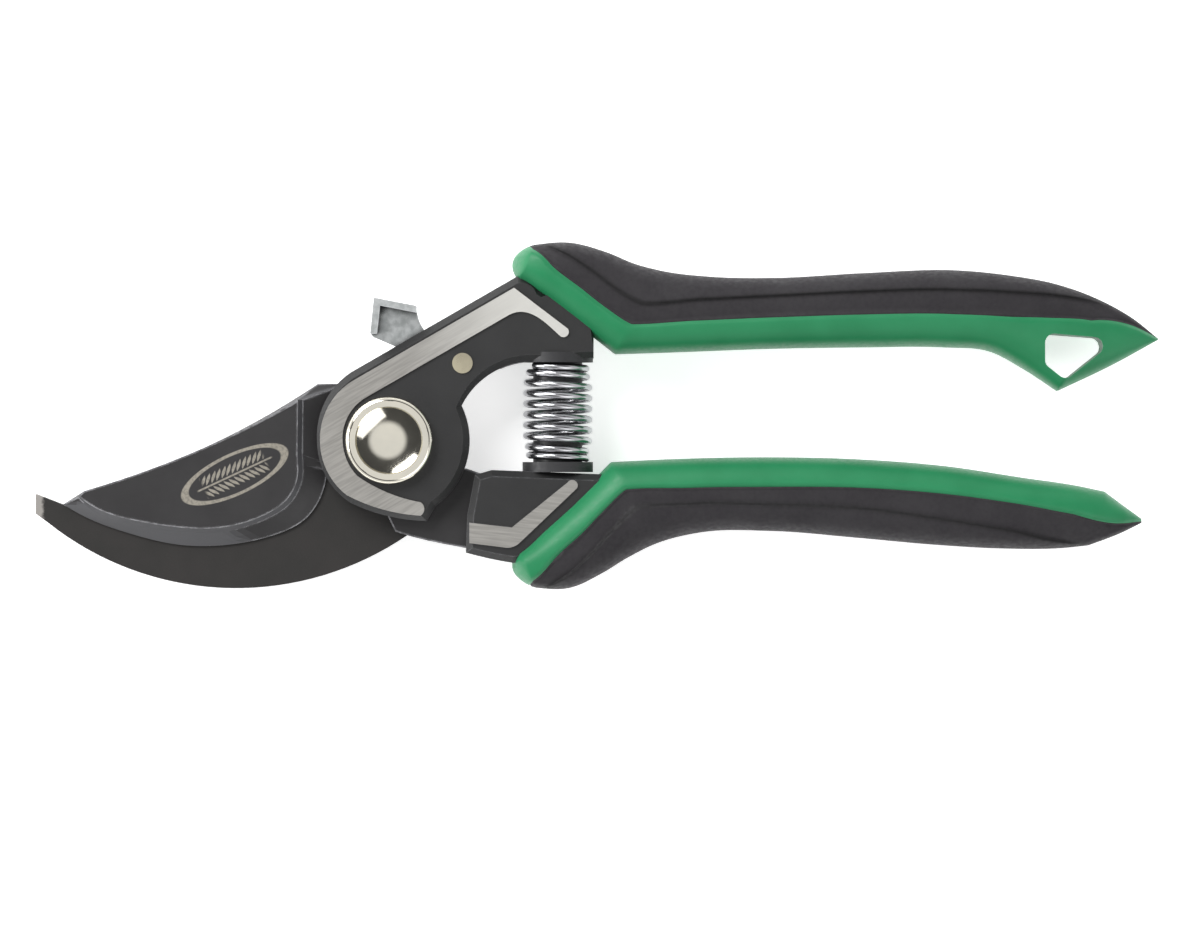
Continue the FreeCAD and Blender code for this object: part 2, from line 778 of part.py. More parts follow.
def spring_seat(face_y, outward):
    """Round plastic seat: a flange against the lever and a peg inside the spring."""
    place = V(spring_centre, face_y, middle)
    peg = Part.makeCylinder(seat_peg_radius, seat_peg_height, place, V(0, -outward, 0))
    return fuse(seat_flange(face_y, outward), peg)


def coil_spring():
    """Compression spring of round wire, its axis along Y."""
    length = spring_top - spring_bottom - 2 * wire_radius
    pitch = length / spring_turns
    helix = Part.makeHelix(pitch, length, spring_radius)
    profile = Part.Wire(Part.makeCircle(wire_radius, V(spring_radius, 0, 0), V(0, 1, 0)))
    wire = Part.Wire(helix.Edges).makePipeShell([profile], True, True)
    wire.rotate(V(0, 0, 0), V(1, 0, 0), -90)
    wire.translate(V(spring_centre, spring_bottom + wire_radius, middle))
    return wire


# ---- small fasteners ----------------------------------------------------------------------------
def hook_rivets():
    return Part.makeCompound(
        [disc(rivet_radius, hook_back, forging_front - rivet_cover, place) for place in hook_rivet_places]
    )


def blade_screws():
    """Slotted cheese-head screws put in from the back."""
    screws = []
    face = forging_back + screw_head_inset
    for place in blade_screw_places:
        shank = disc(screw_radius, face, forging_front - screw_cover, place)
        head = disc(screw_head_radius, face, forging_back + screw_head_recess, place)
        slot_corner = V(place.x - screw_head_radius, place.y - screw_slot_width / 2, face - SKIN)
        slot = Part.makeBox(2 * screw_head_radius, screw_slot_width, SKIN + screw_slot_depth, slot_corner)
        screws.append(fuse(shank, head).cut(slot))
    return Part.makeCompound(screws)


# ---- build --------------------------------------------------------------------------------------
def hang_hole():
    corners = [V(121.6, upper_y(3.0), 0), V(136.6, upper_y(1.6), 0), V(126.0, upper_y(-6.2), 0),
               V(121.7, upper_y(-3.0), 0)]
    return rounded_polygon(corners, hang_hole_corner, -SKIN, grip_thickness + SKIN)


def build():
    """Every piece by its name."""
    upper_grip = grip_body(upper_grip_outline()).cut(upper_core(core_clearance))
    upper_grip = upper_grip.cut(slab(upper_arm_outline(0), forging_back, forging_front))
    lower_grip = grip_body(lower_grip_outline()).cut(lower_core(core_clearance))
    lower_grip = lower_grip.cut(lower_handle_blank()).cut(seat_flange(spring_bottom, -1))
    upper_forging = upper_handle()
    upper_grip = upper_grip.cut(upper_forging).cut(seat_flange(spring_top, 1))
    upper_region = upper_base_region()
    lower_region = lower_base_region()
    return {
        "upper_handle": upper_forging,
        "hook": hook(),
        "hook_rivets": hook_rivets(),
        "upper_grip_base": upper_grip.common(upper_region).cut(hang_hole()),
        "upper_grip_pad": upper_grip.cut(upper_region),
        "upper_spring_seat": spring_seat(spring_top, 1),
        "coil_spring": coil_spring(),
        "pivot_bolt": pivot_bolt(),
        "pivot_bush": pivot_bush(),
        "thrust_washer": thrust_washer(),
        "pivot_lock_washer": lock_washer(),
        "pivot_nut": pivot_nut(),
        "catch_pin": catch_rivet(),
        "catch_washer": catch_washer(),
        "blade": blade(),
        "blade_screws": blade_screws(),
        "lower_handle": lower_handle(),
        "lower_grip_base": lower_grip.common(lower_region),
        "lower_grip_pad": lower_grip.cut(lower_region),
        "lower_spring_seat": spring_seat(spring_bottom, -1),
        "catch_plate": catch_plate(),
    }


os.makedirs("parts", exist_ok=True)
for node, shape in build().items():
    box = shape.BoundBox
    print(f"{node:20s} solids {len(shape.Solids)} valid {shape.isValid()} volume {shape.Volume:9.1f}"
          f"  x {box.XMin:6.1f} {box.XMax:6.1f}  y {box.YMin:6.1f} {box.YMax:6.1f}"
          f"  z {box.ZMin:5.1f} {box.ZMax:5.1f}")
    shape.exportStep(f"parts/{node}.step")
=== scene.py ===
import logging
import math
from dataclasses import dataclass, field
from enum import Enum
from typing import Optional, Sequence, Union

import bpy
import numpy as np
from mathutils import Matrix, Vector


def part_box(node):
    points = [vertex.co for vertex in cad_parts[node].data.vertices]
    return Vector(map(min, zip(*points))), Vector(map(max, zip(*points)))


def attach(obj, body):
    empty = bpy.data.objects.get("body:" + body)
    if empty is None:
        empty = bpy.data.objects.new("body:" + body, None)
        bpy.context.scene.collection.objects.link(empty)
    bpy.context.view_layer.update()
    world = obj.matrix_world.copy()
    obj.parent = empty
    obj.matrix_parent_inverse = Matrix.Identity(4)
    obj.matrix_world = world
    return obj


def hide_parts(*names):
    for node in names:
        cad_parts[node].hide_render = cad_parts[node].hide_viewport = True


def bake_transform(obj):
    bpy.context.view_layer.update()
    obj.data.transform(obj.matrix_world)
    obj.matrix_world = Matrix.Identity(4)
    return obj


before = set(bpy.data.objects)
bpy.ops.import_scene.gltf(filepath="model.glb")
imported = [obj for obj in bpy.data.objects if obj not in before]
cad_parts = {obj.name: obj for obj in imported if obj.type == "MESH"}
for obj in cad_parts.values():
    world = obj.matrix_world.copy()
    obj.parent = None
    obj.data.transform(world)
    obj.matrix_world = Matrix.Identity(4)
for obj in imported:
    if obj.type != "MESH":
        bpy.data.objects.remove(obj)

log = logging.getLogger("pruning_shears")

MM = 0.001
TINY = 1e-12

Array = np.ndarray
Colour = tuple[float, float, float]
Socket = bpy.types.NodeSocket
Value = Union[Socket, float]
Paint = Union[Socket, Colour]


# ---- curves and surfaces ------------------------------------------------------------------------
def unit(vectors: Array) -> Array:
    """Each row of vectors, at length one."""
    length = np.linalg.norm(vectors, axis=-1, keepdims=True)
    return vectors / np.maximum(length, TINY)


def smooth_step(value: Array) -> Array:
    """0 below 0, 1 above 1, and 3t^2 - 2t^3 between them."""
    t = np.clip(value, 0.0, 1.0)
    return t * t * (3.0 - 2.0 * t)


def round_end(share: Array) -> Array:
    """A quarter circle's height: 0 at share 0, rising steeply, level at 1 from share 1 on."""
    return np.sqrt(1 - (1 - np.clip(share, 0.0, 1.0)) ** 2)


@dataclass(frozen=True)
class Track:
    """A smooth curve through a few points, one point for each whole station number.

    Between two points it is a cubic Hermite piece whose end tangents are the direction of the
    neighbouring chords, weighted by nearness, times the piece's own chord. At a corner the two
    pieces keep their own directions.
    """

    points: Sequence[Sequence[float]]
    corners: tuple[int, ...] = ()

    def at(self, stations: Array) -> Array:
        """Places on the curve.

        Args:
            stations: station numbers, from 0 to the number of points less one.

        Returns:
            One row of coordinates for each station.
        """
        knots = np.asarray(self.points, float)
        chords = np.diff(knots, axis=0)
        lengths = np.linalg.norm(chords, axis=1, keepdims=True)
        directions = unit(chords)
        shared = unit(directions[:-1] * lengths[1:] + directions[1:] * lengths[:-1])
        leaving = np.vstack([directions[:1], shared, directions[-1:]])
        arriving = leaving.copy()
        for corner in self.corners:
            arriving[corner] = directions[corner - 1]
            leaving[corner] = directions[corner]
        piece = np.clip(stations.astype(int), 0, len(chords) - 1)
        t = (stations - piece)[:, None]
        span = lengths[piece]
        return (
            knots[piece] * (1 + 2 * t) * (1 - t) ** 2
            + knots[piece + 1] * t**2 * (3 - 2 * t)
            + leaving[piece] * span * t * (1 - t) ** 2
            - arriving[piece + 1] * span * t**2 * (1 - t)
        )


def shares_at(values: Sequence[float], stations: Array) -> Array:
    """Values given at whole stations, joined by cubic Hermite pieces.

    The slope at a station is half the change over its two neighbours.

    Args:
        values: one number for each whole station.
        stations: station numbers, from 0 to the number of values less one.

    Returns:
        One number for each station.
    """
    table = np.asarray(values, float)
    piece = np.clip(stations.astype(int), 0, len(table) - 2)
    t = stations - piece
    start, end = table[piece], table[piece + 1]
    rise_start = (end - table[np.maximum(piece - 1, 0)]) / 2
    rise_end = (table[np.minimum(piece + 2, len(table) - 1)] - start) / 2
    return (
        start * (1 + 2 * t) * (1 - t) ** 2
        + end * t**2 * (3 - 2 * t)
        + rise_start * t * (1 - t) ** 2
        - rise_end * t**2 * (1 - t)
    )


def mesh_from_grid(name: str, grid: Array) -> bpy.types.Object:
    """A closed tube-like mesh from a grid of points.

    Row i of the grid is a closed ring of points and neighbouring rows are joined by quads. Each end
    ring is closed by a fan to its mean point.

    Args:
        name: the piece's name.
        grid: array of shape (rings, points in a ring, 3), in metres.

    Returns:
        The new object, with smooth faces that point outwards.
    """
    rings, around, _ = grid.shape
    centres = np.stack([grid[0].mean(axis=0), grid[-1].mean(axis=0)])
    points = np.vstack([grid.reshape(-1, 3), centres])
    ring = np.arange(around)
    after = (ring + 1) % around
    row = np.arange(rings - 1)[:, None] * around
    quads = np.stack(
        [row + ring, row + after, row + around + after, row + around + ring], axis=-1
    ).reshape(-1, 4)
    first, last = rings * around, rings * around + 1
    base = (rings - 1) * around
    front = np.stack([np.full(around, first), after, ring], axis=-1)
    back = np.stack([np.full(around, last), base + ring, base + after], axis=-1)
    return mesh_from_faces(name, points, [quads, front, back])


def mesh_from_faces(name: str, points: Array, faces: Sequence[Array]) -> bpy.types.Object:
    """A mesh from arrays of points and of faces, with its normals made to point outwards.

    Args:
        name: the piece's name.
        points: array of shape (count, 3), in metres.
        faces: index arrays, each with one row for each face.

    Returns:
        The new object, smooth shaded.
    """
    loops = np.concatenate([block.reshape(-1) for block in faces]).astype(np.int32)
    sizes = np.concatenate([np.full(len(block), block.shape[1]) for block in faces])
    starts = np.concatenate([[0], np.cumsum(sizes)[:-1]]).astype(np.int32)
    mesh = bpy.data.meshes.new(name)
    mesh.vertices.add(len(points))
    mesh.vertices.foreach_set("co", points.astype(np.float32).reshape(-1))
    mesh.loops.add(len(loops))
    mesh.loops.foreach_set("vertex_index", loops)
    mesh.polygons.add(len(sizes))
    mesh.polygons.foreach_set("loop_start", starts)
    mesh.polygons.foreach_set("use_smooth", np.ones(len(sizes), bool))
    mesh.update(calc_edges=True)
    mesh.validate()
    if signed_volume(mesh) < 0:
        mesh.flip_normals()
    piece = bpy.data.objects.new(name, mesh)
    bpy.context.scene.collection.objects.link(piece)
    return piece


def signed_volume(mesh: bpy.types.Mesh) -> float:
    """Volume inside a closed mesh: the sum of a.(b x c)/6 over its triangles.

    Args:
        mesh: a closed mesh.

    Returns:
        The volume, below zero where the faces point inwards.
    """
    mesh.calc_loop_triangles()
    corners = np.empty(len(mesh.loop_triangles) * 3, np.int32)
    mesh.loop_triangles.foreach_get("vertices", corners)
    places = np.empty(len(mesh.vertices) * 3)
    mesh.vertices.foreach_get("co", places)
    a, b, c = places.reshape(-1, 3)[corners].reshape(-1, 3, 3).transpose(1, 0, 2)
    return float(np.einsum("ij,ij->i", a, np.cross(b, c)).sum() / 6)


# ---- finishes -----------------------------------------------------------------------------------
class Nodes:
    """A material's node tree with short calls to add and join nodes."""

    def __init__(self, name: str) -> None:
        """Start a material with one Principled surface.

        Args:
            name: the material's name.
        """
        self.material = bpy.data.materials.new(name)
        self.material.use_nodes = True
        self.tree = self.material.node_tree
        self.surface = self.tree.nodes["Principled BSDF"]

    def add(self, kind: str, **settings: object) -> bpy.types.Node:
        """Add a node.

        Args:
            kind: the node's type name.
            settings: attributes of the node.

        Returns:
            The node.
        """
        node = self.tree.nodes.new(kind)
        for name, value in settings.items():
            setattr(node, name, value)
        return node

    def join(self, source: Socket, target: Socket) -> None:
        """Link an output socket to an input socket."""
        self.tree.links.new(source, target)

    def where(self) -> Socket:
        """Object coordinates, in metres."""
        return self.add("ShaderNodeTexCoord").outputs["Object"]

    def facing(self, kind: str) -> Socket:
        """The Z of the surface's normal; kind is Normal or True Normal."""
        return self.axes(self.add("ShaderNodeNewGeometry").outputs[kind])[2]

    def axes(self, vector: Socket) -> tuple[Socket, Socket, Socket]:
        """Split a vector.

        Args:
            vector: vector output.

        Returns:
            Its X, Y and Z outputs.
        """
        split = self.add("ShaderNodeSeparateXYZ")
        self.join(vector, split.inputs[0])
        return split.outputs["X"], split.outputs["Y"], split.outputs["Z"]

    def place(
        self, scale: Colour = (1, 1, 1), turn: float = 0.0, shift: Colour = (0, 0, 0)
    ) -> Socket:
        """Object coordinates in millimetres, moved, turned about Z and stretched.

        A texture mapping takes the shift off, turns back, and divides by its own scale.

        Args:
            scale: stretch along each axis, after millimetres.
            turn: degrees about Z.
            shift: place in millimetres that becomes the origin.

        Returns:
            The vector output.
        """
        mapping = self.add("ShaderNodeMapping", vector_type="TEXTURE")
        mapping.inputs["Location"].default_value = [value * MM for value in shift]
        mapping.inputs["Rotation"].default_value = (0, 0, math.radians(turn))
        mapping.inputs["Scale"].default_value = [MM / value for value in scale]
        self.join(self.where(), mapping.inputs["Vector"])
        return mapping.outputs["Vector"]

    def noise(
        self, scale: float, detail: float, stretch: Colour = (1, 1, 1), turn: float = 0.0
    ) -> Socket:
        """Noise with features per millimetre.

        Args:
            scale: features for each millimetre.
            detail: octaves.
            stretch: stretch of the coordinates.
            turn: degrees about Z.

        Returns:
            The factor output.
        """
        node = self.add("ShaderNodeTexNoise")
        node.inputs["Scale"].default_value = scale
        node.inputs["Detail"].default_value = detail
        self.join(self.place(stretch, turn), node.inputs["Vector"])
        return node.outputs["Fac"]

    def ramp(
        self, value: Socket, low: float, high: float, start: float = 0.0, end: float = 1.0
    ) -> Socket:
        """A value mapped from low..high to start..end with a smooth step, held outside.

        Args:
            value: output socket.
            low: value that gives start.
            high: value that gives end.
            start: result at low.
            end: result at high.

        Returns:
            The result output.
        """
        node = self.add("ShaderNodeMapRange", clamp=True, interpolation_type="SMOOTHSTEP")
        node.inputs["From Min"].default_value = low
        node.inputs["From Max"].default_value = high
        node.inputs["To Min"].default_value = start
        node.inputs["To Max"].default_value = end
        self.join(value, node.inputs["Value"])
        return node.outputs["Result"]

    def math(self, operation: str, first: Value, second: Value = 0.0) -> Socket:
        """One step of arithmetic on sockets or numbers.

        Args:
            operation: Blender's name of the operation.
            first: socket or number.
            second: socket or number.

        Returns:
            The value output.
        """
        node = self.add("ShaderNodeMath", operation=operation)
        for place, value in enumerate((first, second)):
            if isinstance(value, (int, float)):
                node.inputs[place].default_value = value
            else:
                self.join(value, node.inputs[place])
        return node.outputs[0]

    def distance(self, value: Socket, centre: float) -> Socket:
        """How far a value is from a centre, without its sign."""
        return self.math("ABSOLUTE", self.math("SUBTRACT", value, centre))

    def mix(self, share: Socket, first: Paint, second: Paint) -> Socket:
        """A colour between two others.

        Args:
            share: socket from 0 to 1.
            first: colour or colour socket at 0.
            second: colour or colour socket at 1.

        Returns:
            The colour output.
        """
        node = self.add("ShaderNodeMix", data_type="RGBA")
        self.join(share, node.inputs["Factor"])
        for place, value in ((6, first), (7, second)):
            if isinstance(value, tuple):
                node.inputs[place].default_value = (*value, 1.0)
            else:
                self.join(value, node.inputs[place])
        return node.outputs[2]

    def between(self, share: Socket, first: Socket, second: Socket) -> Socket:
        """A number between two others.

        Args:
            share: socket from 0 to 1.
            first: socket used at 0.
            second: socket used at 1.

        Returns:
            The value output.
        """
        node = self.add("ShaderNodeMix", data_type="FLOAT")
        for place, value in (("Factor", share), (2, first), (3, second)):
            self.join(value, node.inputs[place])
        return node.outputs[0]

    def edges(self, radius_mm: float, low: float, high: float) -> Socket:
        """Where the surface turns sharply.

        The turn is one less the cosine between the true normal and a rounded one.

        Args:
            radius_mm: how far an edge is felt.
            low: turn that counts as none.
            high: turn that counts as a full edge.

        Returns:
            A value output, 1 on edges.
        """
        rounded = self.add("ShaderNodeBevel", samples=4)
        rounded.inputs["Radius"].default_value = radius_mm * MM
        true = self.add("ShaderNodeNewGeometry").outputs["True Normal"]
        product = self.add("ShaderNodeVectorMath", operation="DOT_PRODUCT")
        self.join(rounded.outputs[0], product.inputs[0])
        self.join(true, product.inputs[1])
        turn = self.math("SUBTRACT", 1.0, product.outputs["Value"])
        return self.ramp(turn, low, high)

    def painted_corner_shade(self, reach_mm: float) -> Socket:
        """Where nearby surfaces close the surface in, as a mask of painted shade: the unblocked
        share of the sky, turned over.

        Args:
            reach_mm: how far away a surface still counts.

        Returns:
            A value output, 1 in a deep corner.
        """
        open_share = self.add("ShaderNodeAmbientOcclusion", samples=8)
        open_share.inputs["Distance"].default_value = reach_mm * MM
        return self.ramp(open_share.outputs["AO"], *CORNER_RANGE, 1.0, 0.0)

    def bump(self, height: Socket, depth_mm: float) -> None:
        """Raise the surface by a height output times a depth.

        Args:
            height: value output, 0 to 1.
            depth_mm: the rise at height 1, in millimetres.
        """
        node = self.add("ShaderNodeBump")
        node.inputs["Strength"].default_value = 1.0
        node.inputs["Distance"].default_value = depth_mm * MM
        self.join(height, node.inputs["Height"])
        self.join(node.outputs[0], self.surface.inputs["Normal"])

    def set(self, socket: str, value: Union[Socket, Colour, float]) -> None:
        """Give the surface's socket a value, a colour or a link.

        Args:
            socket: the input's name.
            value: number, colour or output socket.
        """
        target = self.surface.inputs[socket]
        if isinstance(value, (int, float)):
            target.default_value = value
        elif isinstance(value, tuple):
            target.default_value = (*value, 1.0)
        else:
            self.join(value, target)


# Noise values that become 0 and 1 in soft clouds, in grain and in the patches of brighter edges,
# worn and painted highlight.
CLOUD_RANGE = (0.3, 0.7)
GRAIN_RANGE = (0.25, 0.75)
PATCH_RANGE = (0.35, 0.65)
PATCH_FLOOR = 0.35
PATCH_SCALE = 0.9
# Open share of the sky at which a corner's painted shade counts as full and as none.
CORNER_RANGE = (0.35, 0.85)
# Octaves of noise in clouds and grain, and in scratches and patches.
SOFT_DETAIL = 4.0
FINE_DETAIL = 5.0
# Colour of the painted shade in corners and crevices.
CORNER_SHADE_COLOUR: Colour = (0.012, 0.012, 0.012)


class Grain(Enum):
    """How a plain surface is textured: features per millimetre and stretch."""

    POWDER = (3.2, (1.0, 1.0, 1.0))
    MOULDED = (1.6, (1.0, 1.0, 1.0))
    LEATHERY = (1.1, (1.0, 1.0, 1.0))
    BRUSHED = (2.2, (0.06, 1.6, 1.0))
    CAST = (0.7, (1.0, 1.0, 1.0))


@dataclass(frozen=True)
class Finish:
    """A plain finish: mottled colour, grain bump, brighter edges (wear and painted highlight) and
    painted corner shade.

    Brighter edges, partly wear and partly painted highlight, need a wear colour; the turn range
    gives the turn of an edge at which they start and are full. Painted shade in corners needs a
    crevice reach. Colours are linear, lengths in millimetres.
    """

    name: str
    colour: Colour
    mottle: Colour
    roughness: float
    metallic: float = 0.0
    grain: Grain = Grain.MOULDED
    grain_depth_mm: float = 0.01
    wear_and_highlight_colour: Optional[Colour] = None
    wear_and_highlight_radius_mm: float = 0.25
    wear_and_highlight_amount: float = 0.5
    wear_and_highlight_turn: tuple[float, float] = (0.02, 0.2)
    mottle_scale: float = 0.14
    corner_shade_mm: float = 0.0
    corner_shade_amount: float = 0.8
    specular: float = 0.5
    roughness_spread: float = 0.18

    def colour_of(self, nodes: Nodes) -> Socket:
        """The mottled colour with its brighter edges, partly wear and partly painted highlight, and
        its painted corner shade.

        Args:
            nodes: the material being made.

        Returns:
            The colour output.
        """
        cloud = nodes.ramp(nodes.noise(self.mottle_scale, SOFT_DETAIL), *CLOUD_RANGE)
        colour = nodes.mix(cloud, self.colour, self.mottle)
        # Brighter edges: partly wear, partly a painted highlight.
        if self.wear_and_highlight_colour is not None:
            patches = nodes.noise(PATCH_SCALE, FINE_DETAIL)
            patchy = nodes.ramp(patches, *PATCH_RANGE, PATCH_FLOOR, 1.0)
            edge_wear_and_highlight = nodes.math("MULTIPLY", nodes.edges(self.wear_and_highlight_radius_mm, *self.wear_and_highlight_turn), patchy)
            share = nodes.math("MULTIPLY", edge_wear_and_highlight, self.wear_and_highlight_amount)
            colour = nodes.mix(share, colour, self.wear_and_highlight_colour)
        # Painted shade darkens corners and crevices.
        if self.corner_shade_mm:
            corner_shade = nodes.math("MULTIPLY", nodes.painted_corner_shade(self.corner_shade_mm), self.corner_shade_amount)
            colour = nodes.mix(corner_shade, colour, CORNER_SHADE_COLOUR)
        return colour

    def dress(self, nodes: Nodes) -> None:
        """Set the plain finish on a material.

        Args:
            nodes: the material being made.
        """
        scale, stretch = self.grain.value
        grain = nodes.noise(scale, SOFT_DETAIL, stretch)
        least = self.roughness * (1 - self.roughness_spread)
        most = self.roughness * (1 + self.roughness_spread)
        nodes.set("Base Color", self.colour_of(nodes))
        nodes.set("Metallic", self.metallic)
        nodes.set("Specular IOR Level", self.specular)
        nodes.set("Roughness", nodes.ramp(grain, *GRAIN_RANGE, least, min(1.0, most)))
        nodes.bump(grain, self.grain_depth_mm)

    def make(self) -> bpy.types.Material:
        """Make the material.

        Returns:
            The finished material, under the finish's name.
        """
        nodes = Nodes(self.name)
        self.dress(nodes)
        return nodes.material


@dataclass(frozen=True)
class RubberFinish(Finish):
    """Soft rubber with painted shade in its creases.

    The piece's own attribute "crease" is 1 in the crease and falls off beside it.
    """

    crease_shade_colour: Colour = (0.004, 0.004, 0.004)
    crease_shade_amount: float = 0.7

    def colour_of(self, nodes: Nodes) -> Socket:
        """The plain colour, darkened in the crease by painted shade.

        Args:
            nodes: the material being made.

        Returns:
            The colour output.
        """
        crease = nodes.add("ShaderNodeAttribute", attribute_name="crease").outputs["Fac"]
        share = nodes.math("MULTIPLY", crease, self.crease_shade_amount)
        return nodes.mix(share, super().colour_of(nodes), self.crease_shade_colour)


@dataclass(frozen=True)
class ForgingFinish(Finish):
    """Black coated forging whose raised lands are ground to bright steel.

    The lands are whatever stands above land_floor along Z; their grinding marks run along the arm.
    """

    land_floor: float = 0.0
    land_rise: tuple[float, float] = (0.10 * MM, 0.30 * MM)
    land_metallic: float = 0.9
    land_roughness: tuple[float, float] = (0.30, 0.42)
    land_colour: Colour = (0.44, 0.425, 0.40)
    land_shade: Colour = (0.34, 0.33, 0.31)
    # The lands turn lighter along x, towards this colour, between the two places below.
    land_lighter_colour: Colour = (0.76, 0.75, 0.71)
    lighter_from: float = 0.0
    lighter_to: float = 28.0 * MM
    grind_turn: float = 30.0
    scratch_scale: float = 3.0
    scratch_stretch: Colour = (0.05, 1.0, 1.0)
    scratch_depth: float = 0.25
    roughness_spread: float = 0.15

    def dress(self, nodes: Nodes) -> None:
        """Set the coat and the lands on a material.

        Args:
            nodes: the material being made.
        """
        along, _, up = nodes.axes(nodes.where())
        bare = nodes.ramp(up, *(self.land_floor + rise for rise in self.land_rise))
        scratches = nodes.noise(
            self.scratch_scale, FINE_DETAIL, self.scratch_stretch, self.grind_turn
        )
        scale, stretch = self.grain.value
        powder = nodes.noise(scale, SOFT_DETAIL, stretch)
        ground = nodes.ramp(scratches, *CLOUD_RANGE)
        steel = nodes.mix(ground, self.land_shade, self.land_colour)
        # Lighter towards the far end of the run along x.
        rubbed = nodes.ramp(along, self.lighter_from, self.lighter_to)
        steel = nodes.mix(rubbed, steel, self.land_lighter_colour)
        nodes.set("Base Color", nodes.mix(bare, self.colour_of(nodes), steel))
        nodes.set("Metallic", nodes.math("MULTIPLY", bare, self.land_metallic))
        least = self.roughness * (1 - self.roughness_spread)
        most = self.roughness * (1 + self.roughness_spread)
        coated = nodes.ramp(powder, *GRAIN_RANGE, least, most)
        polished = nodes.ramp(scratches, *CLOUD_RANGE, *self.land_roughness)
        nodes.set("Roughness", nodes.between(bare, coated, polished))
        grooves = nodes.math("MULTIPLY", scratches, self.scratch_depth)
        nodes.bump(nodes.between(bare, powder, grooves), self.grain_depth_mm)


@dataclass(frozen=True)
class BladeFinish(Finish):
    """Coated blade steel with a bare ground step and an etched badge: a ring round a leaf sprig.

    The step is wherever the face is steep but still looks up. The badge lies in its own axes, x
    along the oval, in millimetres. Its ring is where the root of (x/length)^2 + (y/width)^2 is near
    one; its stem is a stripe along x; its leaves are slanted lenses in a repeating cell.
    """

    badge_centre: Colour = (-29.0, -6.3, 0.0)
    badge_turn: float = 25.0
    badge_half_length: float = 10.9
    badge_half_width: float = 3.9
    badge_colour: Colour = (0.27, 0.25, 0.21)
    badge_rubbed: tuple[float, float, float, float] = (0.3, 0.6, 0.65, 1.0)
    badge_rubbed_scale: float = 2.5
    badge_facing: tuple[float, float] = (0.5, 0.9)
    ring_centre: float = 0.93
    ring_half: tuple[float, float] = (0.055, 0.085)
    stem_half: float = 0.16
    stem_soft: float = 0.4
    stem_ends: tuple[float, float] = (0.66, 0.72)
    leaf_slant: float = 0.8
    leaf_shift: float = 40.0
    leaf_pitch: float = 1.05
    leaf_middle: float = 0.5
    leaf_reach: float = 1.25
    leaf_half_length: float = 1.0
    leaf_fatness: float = 0.42
    leaf_soft: float = 0.12
    leaf_ends: tuple[float, float] = (5.8, 6.6)
    step_colour: Colour = (0.085, 0.085, 0.09)
    step_least: tuple[float, float] = (0.28, 0.34)
    step_most: tuple[float, float] = (0.84, 0.88)

    def badge(self, nodes: Nodes) -> Socket:
        """Where the etching is.

        Args:
            nodes: the material being made.

        Returns:
            A value output, 1 on the etching.
        """
        x, y, _ = nodes.axes(nodes.place(turn=self.badge_turn, shift=self.badge_centre))
        along = nodes.math("DIVIDE", x, self.badge_half_length)
        across = nodes.math("DIVIDE", y, self.badge_half_width)
        squares = [nodes.math("MULTIPLY", share, share) for share in (along, across)]
        oval = nodes.math("SQRT", nodes.math("ADD", *squares))
        ring = nodes.ramp(nodes.distance(oval, self.ring_centre), *self.ring_half, 1.0, 0.0)
        sides = (self.stem_half * (1 - self.stem_soft), self.stem_half * (1 + self.stem_soft))
        stem = nodes.ramp(nodes.distance(y, 0.0), *sides, 1.0, 0.0)
        short = nodes.ramp(nodes.math("ABSOLUTE", along), *self.stem_ends, 1.0, 0.0)
        stem = nodes.math("MULTIPLY", stem, short)
        both = nodes.math("MAXIMUM", nodes.math("MAXIMUM", ring, stem), self.leaves(nodes, x, y))
        front = nodes.ramp(nodes.facing("Normal"), *self.badge_facing)
        return nodes.math("MULTIPLY", both, front)

    def leaves(self, nodes: Nodes, x: Socket, y: Socket) -> Socket:
        """Slanted leaves either side of the stem.

        The slant takes a share of |y| off x. A ping-pong of that gives the place across one cell,
        and the leaf is where it is nearer the cell's middle than a parabola in |y|.

        Args:
            nodes: the material being made.
            x: distance along the badge, in millimetres.
            y: distance across it.

        Returns:
            A value output, 1 on the leaves.
        """
        height = nodes.math("ABSOLUTE", y)
        slanted = nodes.math("SUBTRACT", x, nodes.math("MULTIPLY", height, self.leaf_slant))
        shifted = nodes.math("ADD", slanted, self.leaf_shift)
        cell = nodes.math("PINGPONG", shifted, self.leaf_pitch)
        from_tip = nodes.math("SUBTRACT", height, self.leaf_reach)
        share = nodes.math("DIVIDE", from_tip, self.leaf_half_length)
        room = nodes.math("SUBTRACT", 1.0, nodes.math("MULTIPLY", share, share))
        room = nodes.math("MULTIPLY", room, self.leaf_fatness)
        inside = nodes.math("SUBTRACT", room, nodes.distance(cell, self.leaf_middle))
        leaf = nodes.ramp(inside, 0.0, self.leaf_soft)
        ends = nodes.ramp(nodes.math("ABSOLUTE", x), *self.leaf_ends, 1.0, 0.0)
        return nodes.math("MULTIPLY", leaf, ends)

    def step(self, nodes: Nodes) -> Socket:
        """Where the face's own normal rises by more than the least and less than the most.

        Args:
            nodes: the material being made.

        Returns:
            A value output, 1 on the ground step.
        """
        rise = nodes.facing("True Normal")
        steep = nodes.ramp(rise, *self.step_most, 1.0, 0.0)
        return nodes.math("MULTIPLY", steep, nodes.ramp(rise, *self.step_least))

    def colour_of(self, nodes: Nodes) -> Socket:
        """The plain colour with the bare step and the badge over it.

        Args:
            nodes: the material being made.

        Returns:
            The colour output.
        """
        rubbed = nodes.noise(self.badge_rubbed_scale, SOFT_DETAIL)
        mark = nodes.math("MULTIPLY", self.badge(nodes), nodes.ramp(rubbed, *self.badge_rubbed))
        colour = nodes.mix(self.step(nodes), super().colour_of(nodes), self.step_colour)
        return nodes.mix(mark, colour, self.badge_colour)


